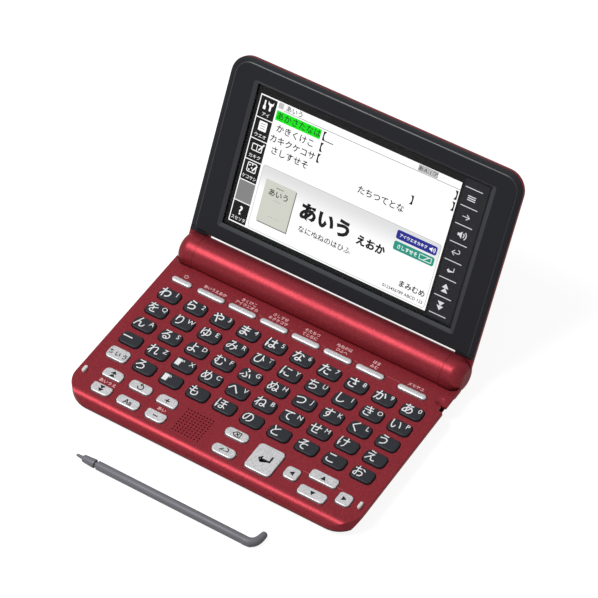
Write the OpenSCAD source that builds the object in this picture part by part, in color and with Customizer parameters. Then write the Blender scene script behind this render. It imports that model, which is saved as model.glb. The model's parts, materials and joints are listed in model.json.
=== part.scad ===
// Clamshell electronic dictionary with a keyboard base, a hinged lid with a touch display and a stylus.
// Millimetres, +Z up, +Y away from the user. The lid is open and the stylus lies in front, as photographed.

/* [Case] */
// Width of the base
base_w = 148; // [140:1:180]
// Depth of the base, from its front edge to the back of the barrel
base_d = 104.1; // [100:0.1:130]
// Height of the base's case, from its underside to its keyboard cover
body_h = 9.2; // [9.2:0.1:12]
// Height of the rubber feet
foot_h = 0.6; // [0.4:0.1:1.5]
// Wall thickness of the base's covers
wall = 1.2; // [0.8:0.1:1.2]
// Radius of the front corners, seen from above
corner_r = 12.5; // [8:0.5:16]
// Height of the upright part of the base's sides
side_h = 2; // [1.5:0.1:4]
// Angle by which the sides slope inwards below it
side_a = 30; // [5:1:35]
// Rounding of the lower side edges
under_r = 3; // [2:0.1:4]
// Height of the split between the two covers, above the underside
split_h = 4.2; // [3.6:0.1:5]

/* [Barrel and hinge] */
// Radius of the hinge barrel
barrel_r = 8.5; // [8.5:0.1:10.5]
// Height of the hinge axis above the keyboard cover
axis_rise = 1; // [0.5:0.1:2]
// Wall thickness of the barrel
barrel_wall = 1.1; // [0.8:0.1:1.1]
// Width of each of the lid's end knuckles
knuckle_w = 9.35; // [8:0.05:12]
// Rounding of the knuckle's outer end
knuckle_round = 5; // [2:0.1:5.5]
// Radius of the hinge shafts
hinge_shaft_r = 2.6; // [2:0.1:3]
// Opening angle of the lid as photographed
lid_open = 119.6; // [90:0.1:150]

/* [Keys] */
// Width of a kana key
key_w = 10.4; // [8:0.1:12]
// Depth of a kana key
key_d = 6.8; // [5:0.1:7.4]
// Corner radius of a kana key
key_r = 2.2; // [1:0.1:3]
// Height of the key tops above the keyboard cover
key_rise = 0.9; // [0.5:0.1:1.2]
// Travel of a key
key_travel = 0.8; // [0.4:0.1:0.8]
// Gap between a key and its hole
key_gap = 0.35; // [0.2:0.05:0.5]
// Side edge of the base to the centre of the first key column
side_margin = 11.09; // [10:0.01:14]
// Front edge of the base to the centre of the front kana row
front_margin = 28.27; // [27:0.01:32]
// Centre of the rear kana row to the front of the barrel
rear_margin = 19.1; // [18.5:0.1:24]
// Width of a function pill key
pill_w = 14.2; // [10:0.1:15]
// Depth of a function pill key
pill_d = 3; // [2:0.1:3.4]
// Spacing of the function pill keys
pill_pitch = 16.6; // [16:0.1:18]

/* [Lid] */
// Thickness of the lid
lid_t = 4.9; // [4.6:0.1:7]
// Height of the closed lid's face above the key tops
lid_gap = 0.5; // [0.4:0.1:1.5]
// How far the closed lid stands past the base's front edge
lid_overhang = 0.4; // [0:0.1:2]
// Gap between the lid's lower edge and the barrel
lid_slit = 0.9; // [0.6:0.05:2]
// Radius of the lid's top corners
lid_corner_r = 9.5; // [6:0.5:14]
// Rounding of the lid's rear edges
lid_back_r = 2.8; // [1:0.1:3]
// Wall thickness of the lid's back cover
lid_wall = 1.1; // [0.8:0.1:1.1]
// Width of the display's picture
display_w = 101.7; // [90:0.1:104]
// Height of the display's picture
display_h = 61.4; // [50:0.1:64]
// Hinge axis to the lower edge of the picture
display_low = 20.6; // [19:0.1:24]
// Width of the printed touch strip beside the picture
strip_w = 13.8; // [10:0.1:14]
// Depth of the touch glass below the bezel's face
glass_drop = 0.7; // [0.4:0.1:0.8]

/* [Inner parts] */
// Length of a battery cell
cell_l = 50.5; // [50:0.1:51]
// Radius of a battery cell
cell_r = 7.25; // [7:0.05:7.25]
// Thickness of the main board
board_t = 1.2; // [0.8:0.1:1.6]
// Radius of the speaker
speaker_r = 8.2; // [6:0.1:8.4]
// Bore radius of the earphone jack
jack_r = 1.8; // [1.75:0.05:1.8]

/* [Stylus] */
// Radius of the stylus shaft
stylus_r = 2.1; // [1.6:0.05:2.2]
// Length of the stylus, with its nib and hook
stylus_l = 93.6; // [80:0.1:96]
// Length of the stylus hook across the shaft
hook_l = 10.2; // [8:0.1:10.6]
// Clearance of the stylus in its silo
silo_gap = 0.35; // [0.2:0.05:0.6]
// Distance of the lying stylus in front of the base
stylus_front = 21.6; // [12:0.1:40]
// Sideways place of the lying stylus, from the base's middle to the hook's outer end
stylus_x = 43.1; // [20:0.1:60]

/* [Hidden] */
$fn = 48;
seat = 0.05;
run = 0.15;
eps = 0.01;

// Heights and places that follow from the sizes above
cover_z = foot_h + body_h;
split_z = foot_h + split_h;
key_top_z = cover_z + key_rise;
axis_z = cover_z + axis_rise;
axis_y = base_d - barrel_r;
seam_x = base_w / 2 - knuckle_w - 0.4;
knuckle_x0 = seam_x + run;
knuckle_x1 = base_w / 2 - 0.4;
knuckle_clear = 0.5;
bore_r = barrel_r - barrel_wall;
rear_y = axis_y - barrel_r + knuckle_round - knuckle_clear;
nose_r = body_h / 2;
side_z = cover_z - side_h;

pitch_x = (base_w - 2 * side_margin) / 9;
pitch_y = (axis_y - barrel_r - rear_margin - front_margin) / 4;
row0_y = front_margin + 4 * pitch_y;
pill_y = row0_y + 9.7;
skirt = 0.6;
flange_t = 0.6;
flange_z = cover_z - wall - 0.1 - flange_t;
board_z = cover_z - wall - 2.75 - board_t;
membrane_t = 0.5;
membrane_z = board_z + board_t + seat;
dome_top = flange_z - key_travel - 0.1;

// Stylus silo, under the function keys on the right side
silo_in = stylus_r + silo_gap;
silo_out = silo_in + 0.85;
silo_y = axis_y - barrel_r - silo_out - 0.6;
silo_z = cover_z - wall - seat - silo_out;
hook_t = 4.4;
pocket_w = hook_t + 0.2;
pocket_x = base_w / 2 - pocket_w;
hook_back = hook_t / 2;
hook_reach = hook_l - hook_back;
pocket_y0 = silo_y - hook_reach - 0.3;
pocket_y1 = silo_y + hook_back + 0.5;
pocket_z0 = silo_z - hook_t / 2 - 0.4;
pocket_z1 = cover_z - wall;
silo_len = stylus_l - hook_t + 1.5;
notch_l = 3;
notch_w = 2.4;
scoop_r = 2.4;
scoop_d = 0.5;

// Ports on the left side, below the board
jack_y = silo_y - 1.1;
jack_z = foot_h + 3.9;
jack_nose_r = 2.45;
usb_w = 7.6;
usb_h = 2.4;
usb_y = 68;
usb_z = foot_h + wall + seat;
card_w = 13;
card_h = 1.9;
card_y = 46;
card_z = foot_h + wall + 0.4;
port_l = 8;
jack_x = -side_x(jack_z - jack_nose_r) + 0.1;
usb_x = -side_x(usb_z) + 0.1;
card_x = -side_x(card_z) + 0.1;

board_y0 = nose_r + 0.6;
board_y1 = silo_y - silo_out - 1.2;
board_w = 2 * (side_x(board_z) - wall / cos(side_a) - 0.4);
speaker_x = -13.3;
speaker_y = 13.1;
speaker_t = 3.4;
grille_pitch_x = 1.62;
grille_pitch_y = 1.56;
grille_half = 4;
grille_r = 0.36;
bumper_x = base_w / 2 - 3.3;
bumper_y = 14;
bumper_h = key_rise + lid_gap - 0.1;

// Screws stand where the corners of four kana keys meet
screw_cells = [[0.5, 0.5], [8.5, 0.5], [0.5, 3.5], [8.5, 3.5], [4.5, 1.5]];
screw_places = [for (s = screw_cells) [col_x(s[0]), row_y(s[1])]];
screw_r = 0.8;
screw_head_r = 1.6;
screw_seat_z = foot_h + 1.3;
post_r = 2.1;
foot_places = [[-60, 13], [60, 13], [-58.7, axis_y - 1], [58.7, axis_y - 1]];
foot_r = 3.6;

// Battery bay: half length of the door, rear slope and partitions
door_x = cell_l + 2.6;
slope_a = 33;
part_z = -barrel_r * sin(15);
bay_front = barrel_r - 1.3;
belly_d = 2.4;
belly_front = 9;
belly_top = 6;
belly_z = foot_h - axis_z;
partition_x = cell_l + 2.1;
partition_t = 1;

// Lid, drawn with X across, Y from the axis to the top edge and Z out of its face
lid_tilt = 180 - lid_open;
lid_face = axis_z - key_top_z - lid_gap;
lid_back = lid_face - lid_t;
lid_half = base_w / 2 - 0.4;
lid_low = barrel_r + lid_slit;
lid_top = axis_y + lid_overhang;
bezel_t = 0.8;
bezel_rim = 0.3;
window_x0 = -(display_w + strip_w) / 2 - 1.1;
window_x1 = (display_w + strip_w) / 2 + 1.5;
window_y0 = display_low - 2.7;
window_y1 = display_low + display_h + 3.6;
display_x0 = window_x0 + 2.65;
glass_t = 1;
glass_z = lid_face - glass_drop - glass_t;
panel_t = 1.55;
panel_z = glass_z - seat - panel_t;
frame_t = 0.35;
lid_floor = lid_back + lid_wall;
lid_board_w = 92;
lid_board_y = lid_low + 3.1;
lid_board_d = display_low - 3.05 - lid_board_y;

// Cable through the left hinge shaft
cable_r = 0.9;
cable_bore_r = 1.2;
cable_z = lid_floor + 0.3 + cable_r;
cable_bend = 4.6;
cable_bend_r = 1.6;
neck_y = barrel_r - knuckle_round;

// Front view of the origin: the middle of the whole, on the table
stylus_y = -stylus_front;
front_y = stylus_y - hook_t / 2;
lid_edge_y = lid_top - lid_back_r;
lid_edge_z = lid_back + lid_back_r;
back_y = axis_y + lid_edge_y * cos(lid_tilt) - lid_edge_z * sin(lid_tilt) + lid_back_r;
origin_y = (front_y + back_y) / 2;

// Colours as photographed
red = [0.62, 0.12, 0.16];
charcoal = [0.17, 0.17, 0.18];
slate = [0.2, 0.22, 0.24];
silver = [0.82, 0.82, 0.83];
grey = [0.48, 0.48, 0.5];

stylus_tip_l = 11;

// Half width of the base at a height
function side_x(z) = base_w / 2 - max(0, side_z - z) * tan(side_a);
function col_x(c) = -base_w / 2 + side_margin + c * pitch_x;
function row_y(r) = row0_y - r * pitch_y;

// Kana columns from left to right: name and number of keys
KANA = [["keys_wa", 4], ["keys_ra", 5], ["keys_ya", 5], ["keys_ma", 5], ["keys_ha", 5],
        ["keys_na", 5], ["keys_ta", 5], ["keys_sa", 5], ["keys_ka", 5], ["keys_a", 5]];

// Single keys: name, x, y, width, depth and corner radii (front left, front right, rear right, rear left)
pill_rr = pill_d / 2 - eps;
all_pill = [pill_rr, pill_rr, pill_rr, pill_rr];
SINGLE = [
    ["power_key", col_x(0), pill_y, 10.3, pill_d, all_pill],
    ["function_key_1", 2.5 - 3 * pill_pitch, pill_y, pill_w, pill_d, all_pill],
    ["function_key_2", 2.5 - 2 * pill_pitch, pill_y, pill_w, pill_d, all_pill],
    ["function_key_3", 2.5 - pill_pitch, pill_y, pill_w, pill_d, all_pill],
    ["function_key_4", 2.5, pill_y, pill_w, pill_d, all_pill],
    ["function_key_5", 2.5 + pill_pitch, pill_y, pill_w, pill_d, all_pill],
    ["function_key_6", 2.5 + 2 * pill_pitch, pill_y, pill_w, pill_d, all_pill],
    ["menu_key", base_w / 2 - 17, pill_y, pill_w, pill_d, all_pill],
    ["small_letter_key", col_x(0), row_y(4), key_w, key_d, [key_r, key_r, key_r, key_r]],
    ["page_up_key", -58.1, 17.85, 9.8, 5.1, [1, 1, 2.3, 2.3]],
    ["page_down_key", -58.1, 8.4, 9.8, 5.1, [2.3, 2.3, 1, 1]],
    ["history_key", -43.9, 18, 11, 5, [1.9, 1.9, 1.9, 1.9]],
    ["text_size_key", -43.9, 8.4, 11, 5, [1.9, 1.9, 1.9, 1.9]],
    ["volume_up_key", -29.7, 17.85, 9.8, 5.1, [1, 1, 2.3, 2.3]],
    ["volume_down_key", -29.7, 8.4, 9.8, 5.1, [2.3, 2.3, 1, 1]],
    ["delete_key", 5.9, 18.2, 11.4, 5, [2.3, 2.3, 2.3, 2.3]],
    ["back_key", 5.9, 8.1, 11.4, 5, [2.3, 2.3, 2.3, 2.3]],
    ["enter_key", 23.4, 13.1, 13, 14.6, [2, 2, 2, 2]],
    ["left_key", 37.1, 13.1, 6.8, 6.4, [1.9, 1.5, 1.5, 1.9]],
    ["up_key", 50.2, 17.85, 13.4, 5.1, [1.4, 1.4, 1.6, 1.6]],
    ["down_key", 50.2, 8.4, 13.4, 5.1, [1.6, 1.6, 1.4, 1.4]],
    ["right_key", 63.3, 13.1, 6.8, 6.4, [1.5, 1.9, 1.9, 1.5]]
];

// Every key hole as one list, in the form of the single keys
kana_rr = [key_r, key_r, key_r, key_r];
KANA_KEYS = [for (c = [0:9], r = [0:KANA[c][1] - 1]) ["", col_x(c), row_y(r), key_w, key_d, kana_rr]];
ALL_KEYS = concat(KANA_KEYS, SINGLE);

// Shared shapes

// Moves the part so that its origin is the middle of the whole, on the table
module placed() {
    translate([0, -origin_y, 0]) children();
}

// Puts a shape drawn in the lid's own directions onto the hinge
module on_lid() {
    placed() translate([0, axis_y, axis_z]) rotate([lid_tilt, 0, 0]) children();
}

// Extrudes a front to back, bottom to top outline across the width
module across(half) {
    translate([-half, 0, 0]) rotate([90, 0, 90]) linear_extrude(2 * half) children();
}

// Rectangle centred on the origin, each corner with its own radius
module rounded(w, d, r) {
    sx = [-1, 1, 1, -1];
    sy = [-1, -1, 1, 1];
    difference() {
        square([w, d], center = true);
        for (i = [0:3]) translate([sx[i] * w / 2, sy[i] * d / 2]) square(2 * r[i], center = true);
    }
    for (i = [0:3]) translate([sx[i] * (w / 2 - r[i]), sy[i] * (d / 2 - r[i])]) circle(r[i]);
}

// Outline of a key grown outwards, at its place on the cover
module key_outline(k, grow) {
    translate([k[1], k[2]]) rounded(k[3] + 2 * grow, k[4] + 2 * grow, [for (r = k[5]) r + grow]);
}

// Section of the base across its width: upright edges above sides that slope inwards
module base_section(inset) {
    e = 0.4;
    x = base_w / 2 - inset;
    r = under_r - inset;
    low = foot_h + under_r;
    low_x = side_x(low) - under_r / cos(side_a);
    bend = side_z + inset * tan(side_a / 2);
    top = cover_z - inset;
    half = [[low_x, low - r], [low_x + r * cos(side_a), low - r * sin(side_a)], [x, bend], [x, top - e],
            [x - e, top]];
    polygon(concat(half, [for (i = [4:-1:0]) [-half[i][0], half[i][1]]]));
    for (s = [-1, 1]) {
        translate([s * low_x, low]) circle(r);
        translate([s * (x - e), top - e]) circle(e);
    }
}

// Side view of the base's rounded front edge, with or without its lower half
module nose_profile(inset, low_half) {
    translate([nose_r, foot_h + nose_r]) circle(nose_r - inset);
    translate([nose_r, foot_h + inset]) square([base_d, body_h - 2 * inset]);
    if (!low_half) translate([inset, foot_h - 1]) square([base_d, nose_r + 1]);
}

// Block that ends in a front corner: upright above, rounded below like the front edge
module corner_block(inset) {
    r = nose_r - inset;
    rotate_extrude($fn = 96) union() {
        translate([0, foot_h + nose_r]) square([corner_r - inset, body_h]);
        translate([0, foot_h - 1]) square([corner_r - nose_r, body_h]);
        translate([corner_r - nose_r, foot_h + nose_r]) intersection() {
            circle(r);
            translate([0, -r]) square(2 * r);
        }
    }
}

// Plan of the base's rear, with a small radius at each rear corner
module rear_plan(inset) {
    d = rear_y - inset + 5;
    translate([0, d / 2 - 5]) rounded(base_w - 2 * inset, d, [1, 1, 1.5, 1.5]);
}

// Outer form of the base, or the space inside it
module base_form(inset) {
    corner_x = base_w / 2 - corner_r;
    z = foot_h - 1;
    h = body_h + 2;
    intersection() {
        translate([0, base_d, 0]) rotate([90, 0, 0]) linear_extrude(base_d) base_section(inset);
        translate([0, 0, z]) linear_extrude(h) rear_plan(inset);
        union() {
            translate([-base_w, corner_r, z]) cube([2 * base_w, base_d, h]);
            intersection() {
                translate([-corner_x, -1, z]) cube([2 * corner_x, corner_r + 2, h]);
                across(base_w / 2) nose_profile(inset, true);
            }
            intersection() {
                both_ends() translate([corner_x, corner_r, 0]) corner_block(inset);
                across(base_w / 2) nose_profile(inset, false);
            }
        }
    }
}

// Half of a knuckle's outline, turned round the hinge axis
module knuckle_form(grow, x0, x1) {
    r = barrel_r + grow;
    e = knuckle_round;
    rotate([90, 0, 90]) rotate_extrude($fn = 96) union() {
        translate([0, x0]) square([r, x1 - x0 - e]);
        translate([0, x0]) square([r - e, x1 - x0]);
        translate([r - e, x1 - e]) intersection() {
            circle(e);
            square(e);
        }
    }
}

// Both places of something that stands at each end of the hinge
module both_ends() {
    children();
    mirror([1, 0, 0]) children();
}

// Space swept by the lid's knuckles, with its clearance
module knuckle_space(grow) {
    translate([0, axis_y, axis_z]) both_ends() knuckle_form(grow, seam_x, knuckle_x1 + grow);
}

// Pocket on the right side in which the stylus hook lies
module hook_pocket() {
    translate([pocket_x, pocket_y0, pocket_z0])
        cube([pocket_w + 1, pocket_y1 - pocket_y0, pocket_z1 - pocket_z0]);
    translate([pocket_x - 5, silo_y, silo_z]) rotate([0, 90, 0]) cylinder(r = silo_out + 0.1, h = 6);
}

// Ports in the left wall: earphone jack, data port and card slot
module port_holes() {
    x = -base_w / 2 - 1;
    translate([x, jack_y, jack_z]) rotate([0, 90, 0]) cylinder(r = jack_nose_r + 0.1, h = port_l);
    translate([x, usb_y - usb_w / 2 - 0.1, usb_z - 0.1]) cube([port_l, usb_w + 0.2, usb_h + 0.2]);
    translate([x, card_y - card_w / 2 - 0.1, card_z - 0.1]) cube([port_l, card_w + 0.2, card_h + 0.2]);
}

// Space inside the covers, which leaves a wall round each knuckle
module case_space() {
    difference() {
        base_form(wall);
        knuckle_space(knuckle_clear + wall);
        pocket_walls();
    }
}

// Walls round the hook pocket, inside the covers
module pocket_walls() {
    t = 1;
    translate([pocket_x - t, pocket_y0 - t, foot_h])
        cube([pocket_w + 2 * t, pocket_y1 - pocket_y0 + 2 * t, body_h]);
}

// Base, keyboard side
module base_top_cover() {
    boss_z = membrane_z;
    color(red) placed() {
        difference() {
            base_form(0);
            case_space();
            translate([-base_w, -1, -1]) cube([2 * base_w, 2 * base_d, split_z + 1]);
            translate([-seam_x, axis_y - belly_front - 0.2, -1])
                cube([2 * seam_x, base_d, axis_z - belly_top + 1.1]);
            translate([0, axis_y, axis_z]) across_hole(barrel_r + run, seam_x);
            knuckle_space(knuckle_clear);
            hook_pocket();
            port_holes();
            thumb_scoop();
            translate([0, 0, cover_z - wall - 1]) linear_extrude(wall + 2) key_holes();
            grille();
        }
        difference() {
            for (p = screw_places)
                translate([p[0], p[1], boss_z]) cylinder(r = post_r, h = cover_z - wall - boss_z);
            for (p = screw_places)
                translate([p[0], p[1], boss_z - 1]) cylinder(r = screw_r + seat, h = 3.4);
        }
    }
}

// Round hole along X between two faces at equal distances
module across_hole(r, half) {
    translate([-half, 0, 0]) rotate([0, 90, 0]) cylinder(r = r, h = 2 * half, $fn = 96);
}

// Holes of all the keys
module key_holes() {
    for (k = ALL_KEYS) key_outline(k, key_gap);
}

// Notch and shallow scoop that let a finger reach the stylus hook
module thumb_scoop() {
    translate([base_w / 2 - notch_w, pocket_y0, cover_z - wall - 1]) cube([notch_w + 1, notch_l, wall + 2]);
    ball = (scoop_r * scoop_r / scoop_d + scoop_d) / 2;
    translate([base_w / 2 - 1.6 * notch_w, pocket_y0 + notch_l + scoop_r - 0.7, cover_z + ball - scoop_d])
        sphere(r = ball, $fn = 64);
}

// Small round holes over the speaker, in a square field
module grille() {
    for (i = [-grille_half:grille_half], j = [-grille_half:grille_half])
        translate([speaker_x + i * grille_pitch_x, speaker_y + j * grille_pitch_y, cover_z - wall - 1])
            cylinder(r = grille_r, h = wall + 2, $fn = 16);
}

// Base, underside
module base_bottom_cover() {
    floor_z = foot_h + wall;
    color([0.5, 0.1, 0.13]) placed() difference() {
        union() {
            difference() {
                base_form(0);
                case_space();
                translate([-base_w, -1, split_z]) cube([2 * base_w, 2 * base_d, body_h]);
                translate([0, axis_y, axis_z]) across_hole(barrel_r - 0.3, seam_x);
            }
            translate([0, axis_y, axis_z]) across(seam_x) belly();
            translate([-door_x - 1, axis_y - barrel_r - 0.2, foot_h])
                cube([2 * door_x + 2, 1.1, axis_z - 4.5 - foot_h]);
            for (p = screw_places)
                translate([p[0], p[1], floor_z - eps]) cylinder(r = post_r, h = board_z - seat - floor_z);
        }
        knuckle_space(knuckle_clear);
        hook_pocket();
        port_holes();
        translate([0, axis_y, axis_z]) across(door_x + 0.2) door_space();
        translate([0, axis_y, axis_z]) door_tabs(0.2);
        for (p = screw_places) {
            translate([p[0], p[1], 0]) cylinder(r = screw_head_r + 0.15, h = screw_seat_z);
            translate([p[0], p[1], 0]) cylinder(r = screw_r + 0.15, h = cover_z);
        }
    }
}

// Section of the barrel's lower half and of the belly below it, about the hinge axis
module belly() {
    difference() {
        union() {
            intersection() {
                circle(barrel_r, $fn = 96);
                polygon([[0, 0], [-20, 0], [-20, -20], [20, -20], [20, part_z], [0, part_z]]);
            }
            belly_outline();
        }
        circle(bore_r, $fn = 96);
    }
}

// Section of the belly alone, whose rear slope ends on the barrel
module belly_outline() {
    slope_end = [barrel_r * cos(slope_a), -barrel_r * sin(slope_a)];
    polygon([[-belly_top, -belly_top], [-belly_front, belly_z], [belly_d, belly_z],
             slope_end, [0, slope_end[1]]]);
}

// Section of the space that the battery cover fills
module door_space() {
    polygon([[-bay_front, -20], [20, -20], [20, part_z], [2, part_z],
             [0, -bore_r], [-bay_front, -bore_r]]);
}

// Tabs on the battery cover's front edge, with a clearance for their slots
module door_tabs(grow) {
    for (x = [-32, 32])
        translate([x - 5 - grow, -bay_front - 1.3 - grow, belly_z + 1 - grow])
            cube([10 + 2 * grow, 3, 0.9 + 2 * grow]);
}

// Battery cover, which slides out to the back
module battery_cover() {
    g = 0.2;
    color([0.5, 0.1, 0.13]) placed() translate([0, axis_y, axis_z]) {
        across(door_x) difference() {
            intersection() {
                union() {
                    circle(barrel_r, $fn = 96);
                    belly_outline();
                }
                polygon([[g - bay_front, -20], [20, -20], [20, part_z - g], [2, part_z - g],
                         [0, -bore_r - seat], [g - bay_front, -bore_r - seat]]);
            }
            circle(bore_r + seat, $fn = 96);
        }
        door_tabs(0);
    }
}

// Upper shell of the barrel, with the partitions that seat the battery contacts
module barrel_cover() {
    start = 25;
    color(red) placed() translate([0, axis_y, axis_z]) {
        difference() {
            rotate([90, 0, 90]) rotate([0, 0, -start]) rotate_extrude(angle = 180 + start, $fn = 96)
                translate([bore_r, -seam_x]) square([barrel_wall, 2 * seam_x]);
            translate([-base_w, 0, part_z - barrel_r]) cube([2 * base_w, 2 * barrel_r, barrel_r]);
        }
        both_ends() intersection() {
            translate([partition_x, 0, 0]) rotate([0, 90, 0])
                cylinder(r = bore_r + 0.2, h = partition_t, $fn = 96);
            translate([0, -barrel_r, 0.5]) cube([base_w, 2 * barrel_r, barrel_r]);
        }
    }
}

// Rubber sheet with a dome under each key
module keypad_membrane() {
    color([0.3, 0.3, 0.32]) placed() difference() {
        union() {
            translate([0, 0, membrane_z]) linear_extrude(membrane_t) board_plan(0.4);
            for (k = ALL_KEYS)
                translate([k[1], k[2], membrane_z]) cylinder(r = 1.3, h = dome_top - membrane_z, $fn = 24);
        }
        for (p = screw_places) translate([p[0], p[1], 0]) cylinder(r = post_r + 0.15, h = cover_z);
    }
}

// Outline shared by the main board and the keypad membrane
module board_plan(inset) {
    w = board_w - 2 * inset;
    d = board_y1 - board_y0 - 2 * inset;
    r = corner_r - 3;
    difference() {
        translate([0, (board_y0 + board_y1) / 2]) rounded(w, d, [r, r, 1, 1]);
        translate([speaker_x, speaker_y]) circle(speaker_r + 0.4 + inset);
        translate([pocket_x - 1.4 - inset, pocket_y0 - 1.4 - inset]) square(30);
    }
}

// Main board
module main_board() {
    color([0.1, 0.35, 0.2]) placed() difference() {
        translate([0, 0, board_z]) linear_extrude(board_t) board_plan(0);
        for (p = screw_places) translate([p[0], p[1], 0]) cylinder(r = screw_r + 0.2, h = cover_z);
    }
}

// Chips on the board's underside
module board_chips() {
    chips = [[-20, 45, 16, 16, 1.2], [11, 50, 12, 12, 1], [30, 40, 14, 9, 1.1],
             [30, 58, 8, 8, 0.9], [-5, 30, 9, 6, 1.1]];
    color([0.12, 0.12, 0.13]) placed() for (c = chips)
        translate([c[0] - c[2] / 2, c[1] - c[3] / 2, board_z - c[4]]) cube([c[2], c[3], c[4]]);
}

// Speaker, in its place under the grille
module speaker() {
    top = cover_z - wall - seat;
    color([0.25, 0.25, 0.27]) placed() translate([speaker_x, speaker_y, top - speaker_t]) {
        cylinder(r = speaker_r - 2.4, h = speaker_t - 0.8);
        translate([0, 0, speaker_t - 1.2]) difference() {
            cylinder(r = speaker_r, h = 1.2);
            translate([0, 0, 0.8]) cylinder(r = speaker_r - 1, h = 1);
        }
    }
}

// Two cells end to end in the barrel
module battery_cells() {
    color([0.75, 0.62, 0.3]) placed() translate([0, axis_y, axis_z]) both_ends()
        translate([seat, 0, 0]) rotate([0, 90, 0]) {
            cylinder(r = cell_r, h = cell_l - 1.2);
            translate([0, 0, cell_l - 1.2 - eps]) cylinder(r = 2.7, h = 1.2);
        }
}

// Contact plates and the spring at the ends of the battery bay
module battery_contacts() {
    plate = 0.4;
    spring_z = seat + cell_l + plate - partition_x + 0.1;
    spring_l = partition_x - cell_l - plate - 2 * seat;
    color([0.8, 0.8, 0.78]) placed() translate([0, axis_y, axis_z]) both_ends()
        translate([partition_x - seat - plate, 0, 0]) rotate([0, 90, 0]) {
            cylinder(r = 5.4, h = plate);
            translate([0, 0, spring_z]) cylinder(r = 2.4, h = spring_l);
        }
}

// Screws through the bottom cover into the keyboard cover
module case_screws() {
    color([0.3, 0.3, 0.32]) placed() for (p = screw_places) translate([p[0], p[1], screw_seat_z - 0.95]) {
        cylinder(r = screw_head_r, h = 0.9);
        cylinder(r = screw_r, h = membrane_z + 2 - screw_seat_z);
    }
}

// Feet on the underside
module rubber_feet() {
    color([0.15, 0.15, 0.16]) placed() for (p = foot_places)
        translate([p[0], p[1], 0]) cylinder(r = foot_r, h = foot_h);
}

// Small pads on which the closed lid rests
module lid_bumpers() {
    rr = [0.78, 0.78, 0.78, 0.78];
    color([0.9, 0.86, 0.84]) placed() both_ends()
        translate([bumper_x, bumper_y, cover_z]) linear_extrude(bumper_h) rounded(1.6, 3.6, rr);
}

// Tube that holds the stylus
module stylus_silo() {
    color([0.25, 0.25, 0.27]) placed() translate([pocket_x, silo_y, silo_z]) rotate([0, -90, 0])
        difference() {
            cylinder(r = silo_out, h = silo_len + 1);
            translate([0, 0, -1]) cylinder(r = silo_in, h = silo_len + 1);
        }
}

// Earphone jack at the rear of the left side
module earphone_jack() {
    nose = 4.1;
    len = 13;
    color([0.2, 0.2, 0.21]) placed() translate([jack_x, jack_y, jack_z]) difference() {
        union() {
            rotate([0, 90, 0]) cylinder(r = jack_nose_r, h = nose + 1);
            translate([nose, -2.8, -2.6]) cube([len - nose, 5.6, 5.2]);
        }
        translate([-1, 0, 0]) rotate([0, 90, 0]) cylinder(r = jack_r, h = len);
    }
}

// Data port on the left side, below the board
module usb_port() {
    color([0.7, 0.7, 0.72]) placed() translate([usb_x, usb_y - usb_w / 2, usb_z]) difference() {
        cube([5.4, usb_w, usb_h]);
        translate([-1, 0.5, 0.4]) cube([5.2, usb_w - 1, usb_h - 0.8]);
    }
}

// Card slot on the left side, below the board
module card_slot() {
    color([0.7, 0.7, 0.72]) placed() translate([card_x, card_y - card_w / 2, card_z])
        difference() {
            cube([15, card_w, card_h]);
            translate([-1, 0.8, 0.4]) cube([15, card_w - 1.6, card_h - 0.8]);
        }
}

// Housings that close the barrel's ends and carry the hinge shafts
module hinge_housings() {
    len = seam_x - partition_x - partition_t - 4.7;
    color([0.6, 0.6, 0.62]) placed() translate([0, axis_y, axis_z]) both_ends()
        translate([seam_x - len, 0, 0]) rotate([0, 90, 0]) difference() {
            cylinder(r = bore_r - seat, h = len, $fn = 96);
            translate([0, 0, -1]) cylinder(r = hinge_shaft_r + 0.06, h = len + 2);
        }
}

// Shafts that join the lid's knuckles to the housings, the left one hollow for the cable
module hinge_shafts() {
    x0 = seam_x - 5.6;
    x1 = knuckle_x0 + 3.4;
    color([0.7, 0.7, 0.72]) on_lid() {
        translate([x0, 0, 0]) rotate([0, 90, 0]) cylinder(r = hinge_shaft_r, h = x1 - x0);
        translate([-x0, 0, 0]) rotate([0, -90, 0]) difference() {
            cylinder(r = hinge_shaft_r, h = x1 - x0);
            translate([0, 0, -1]) cylinder(r = cable_bore_r, h = x1 - x0 + 2);
        }
    }
}

// Outline of the lid seen from its face
module lid_plan(inset) {
    h = lid_top - lid_low - 2 * inset;
    r = lid_corner_r - inset;
    translate([0, (lid_top + lid_low) / 2]) rounded(2 * (lid_half - inset), h, [0.5, 0.5, r, r]);
}

// Section of the lid's thickness between two places, its outer rear edge rounded
module lid_edge(inset, x0, x1, top_z) {
    r = lid_back_r;
    z = lid_back + inset;
    translate([x0, z]) square([x1 - r - x0, top_z - z]);
    translate([x0, z + r]) square([x1 - x0, top_z - z - r]);
    translate([x1 - r, z + r]) intersection() {
        circle(r);
        translate([0, -r]) square([r, r + min(r, top_z - z - r)]);
    }
}

// Outer form of the lid's plate, or the space inside it
module lid_form(inset, top_z) {
    corner_x = lid_half - lid_corner_r;
    corner_y = lid_top - lid_corner_r;
    low = lid_low + inset;
    both_ends() {
        translate([0, corner_y, 0]) rotate([90, 0, 0]) linear_extrude(corner_y - low)
            lid_edge(inset, 0, lid_half - inset, top_z);
        translate([corner_x, corner_y, 0]) rotate_extrude($fn = 96)
            lid_edge(inset, 0, lid_corner_r - inset, top_z);
    }
    across(corner_x) lid_edge(inset, corner_y - 1, lid_top - inset, top_z);
}

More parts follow.
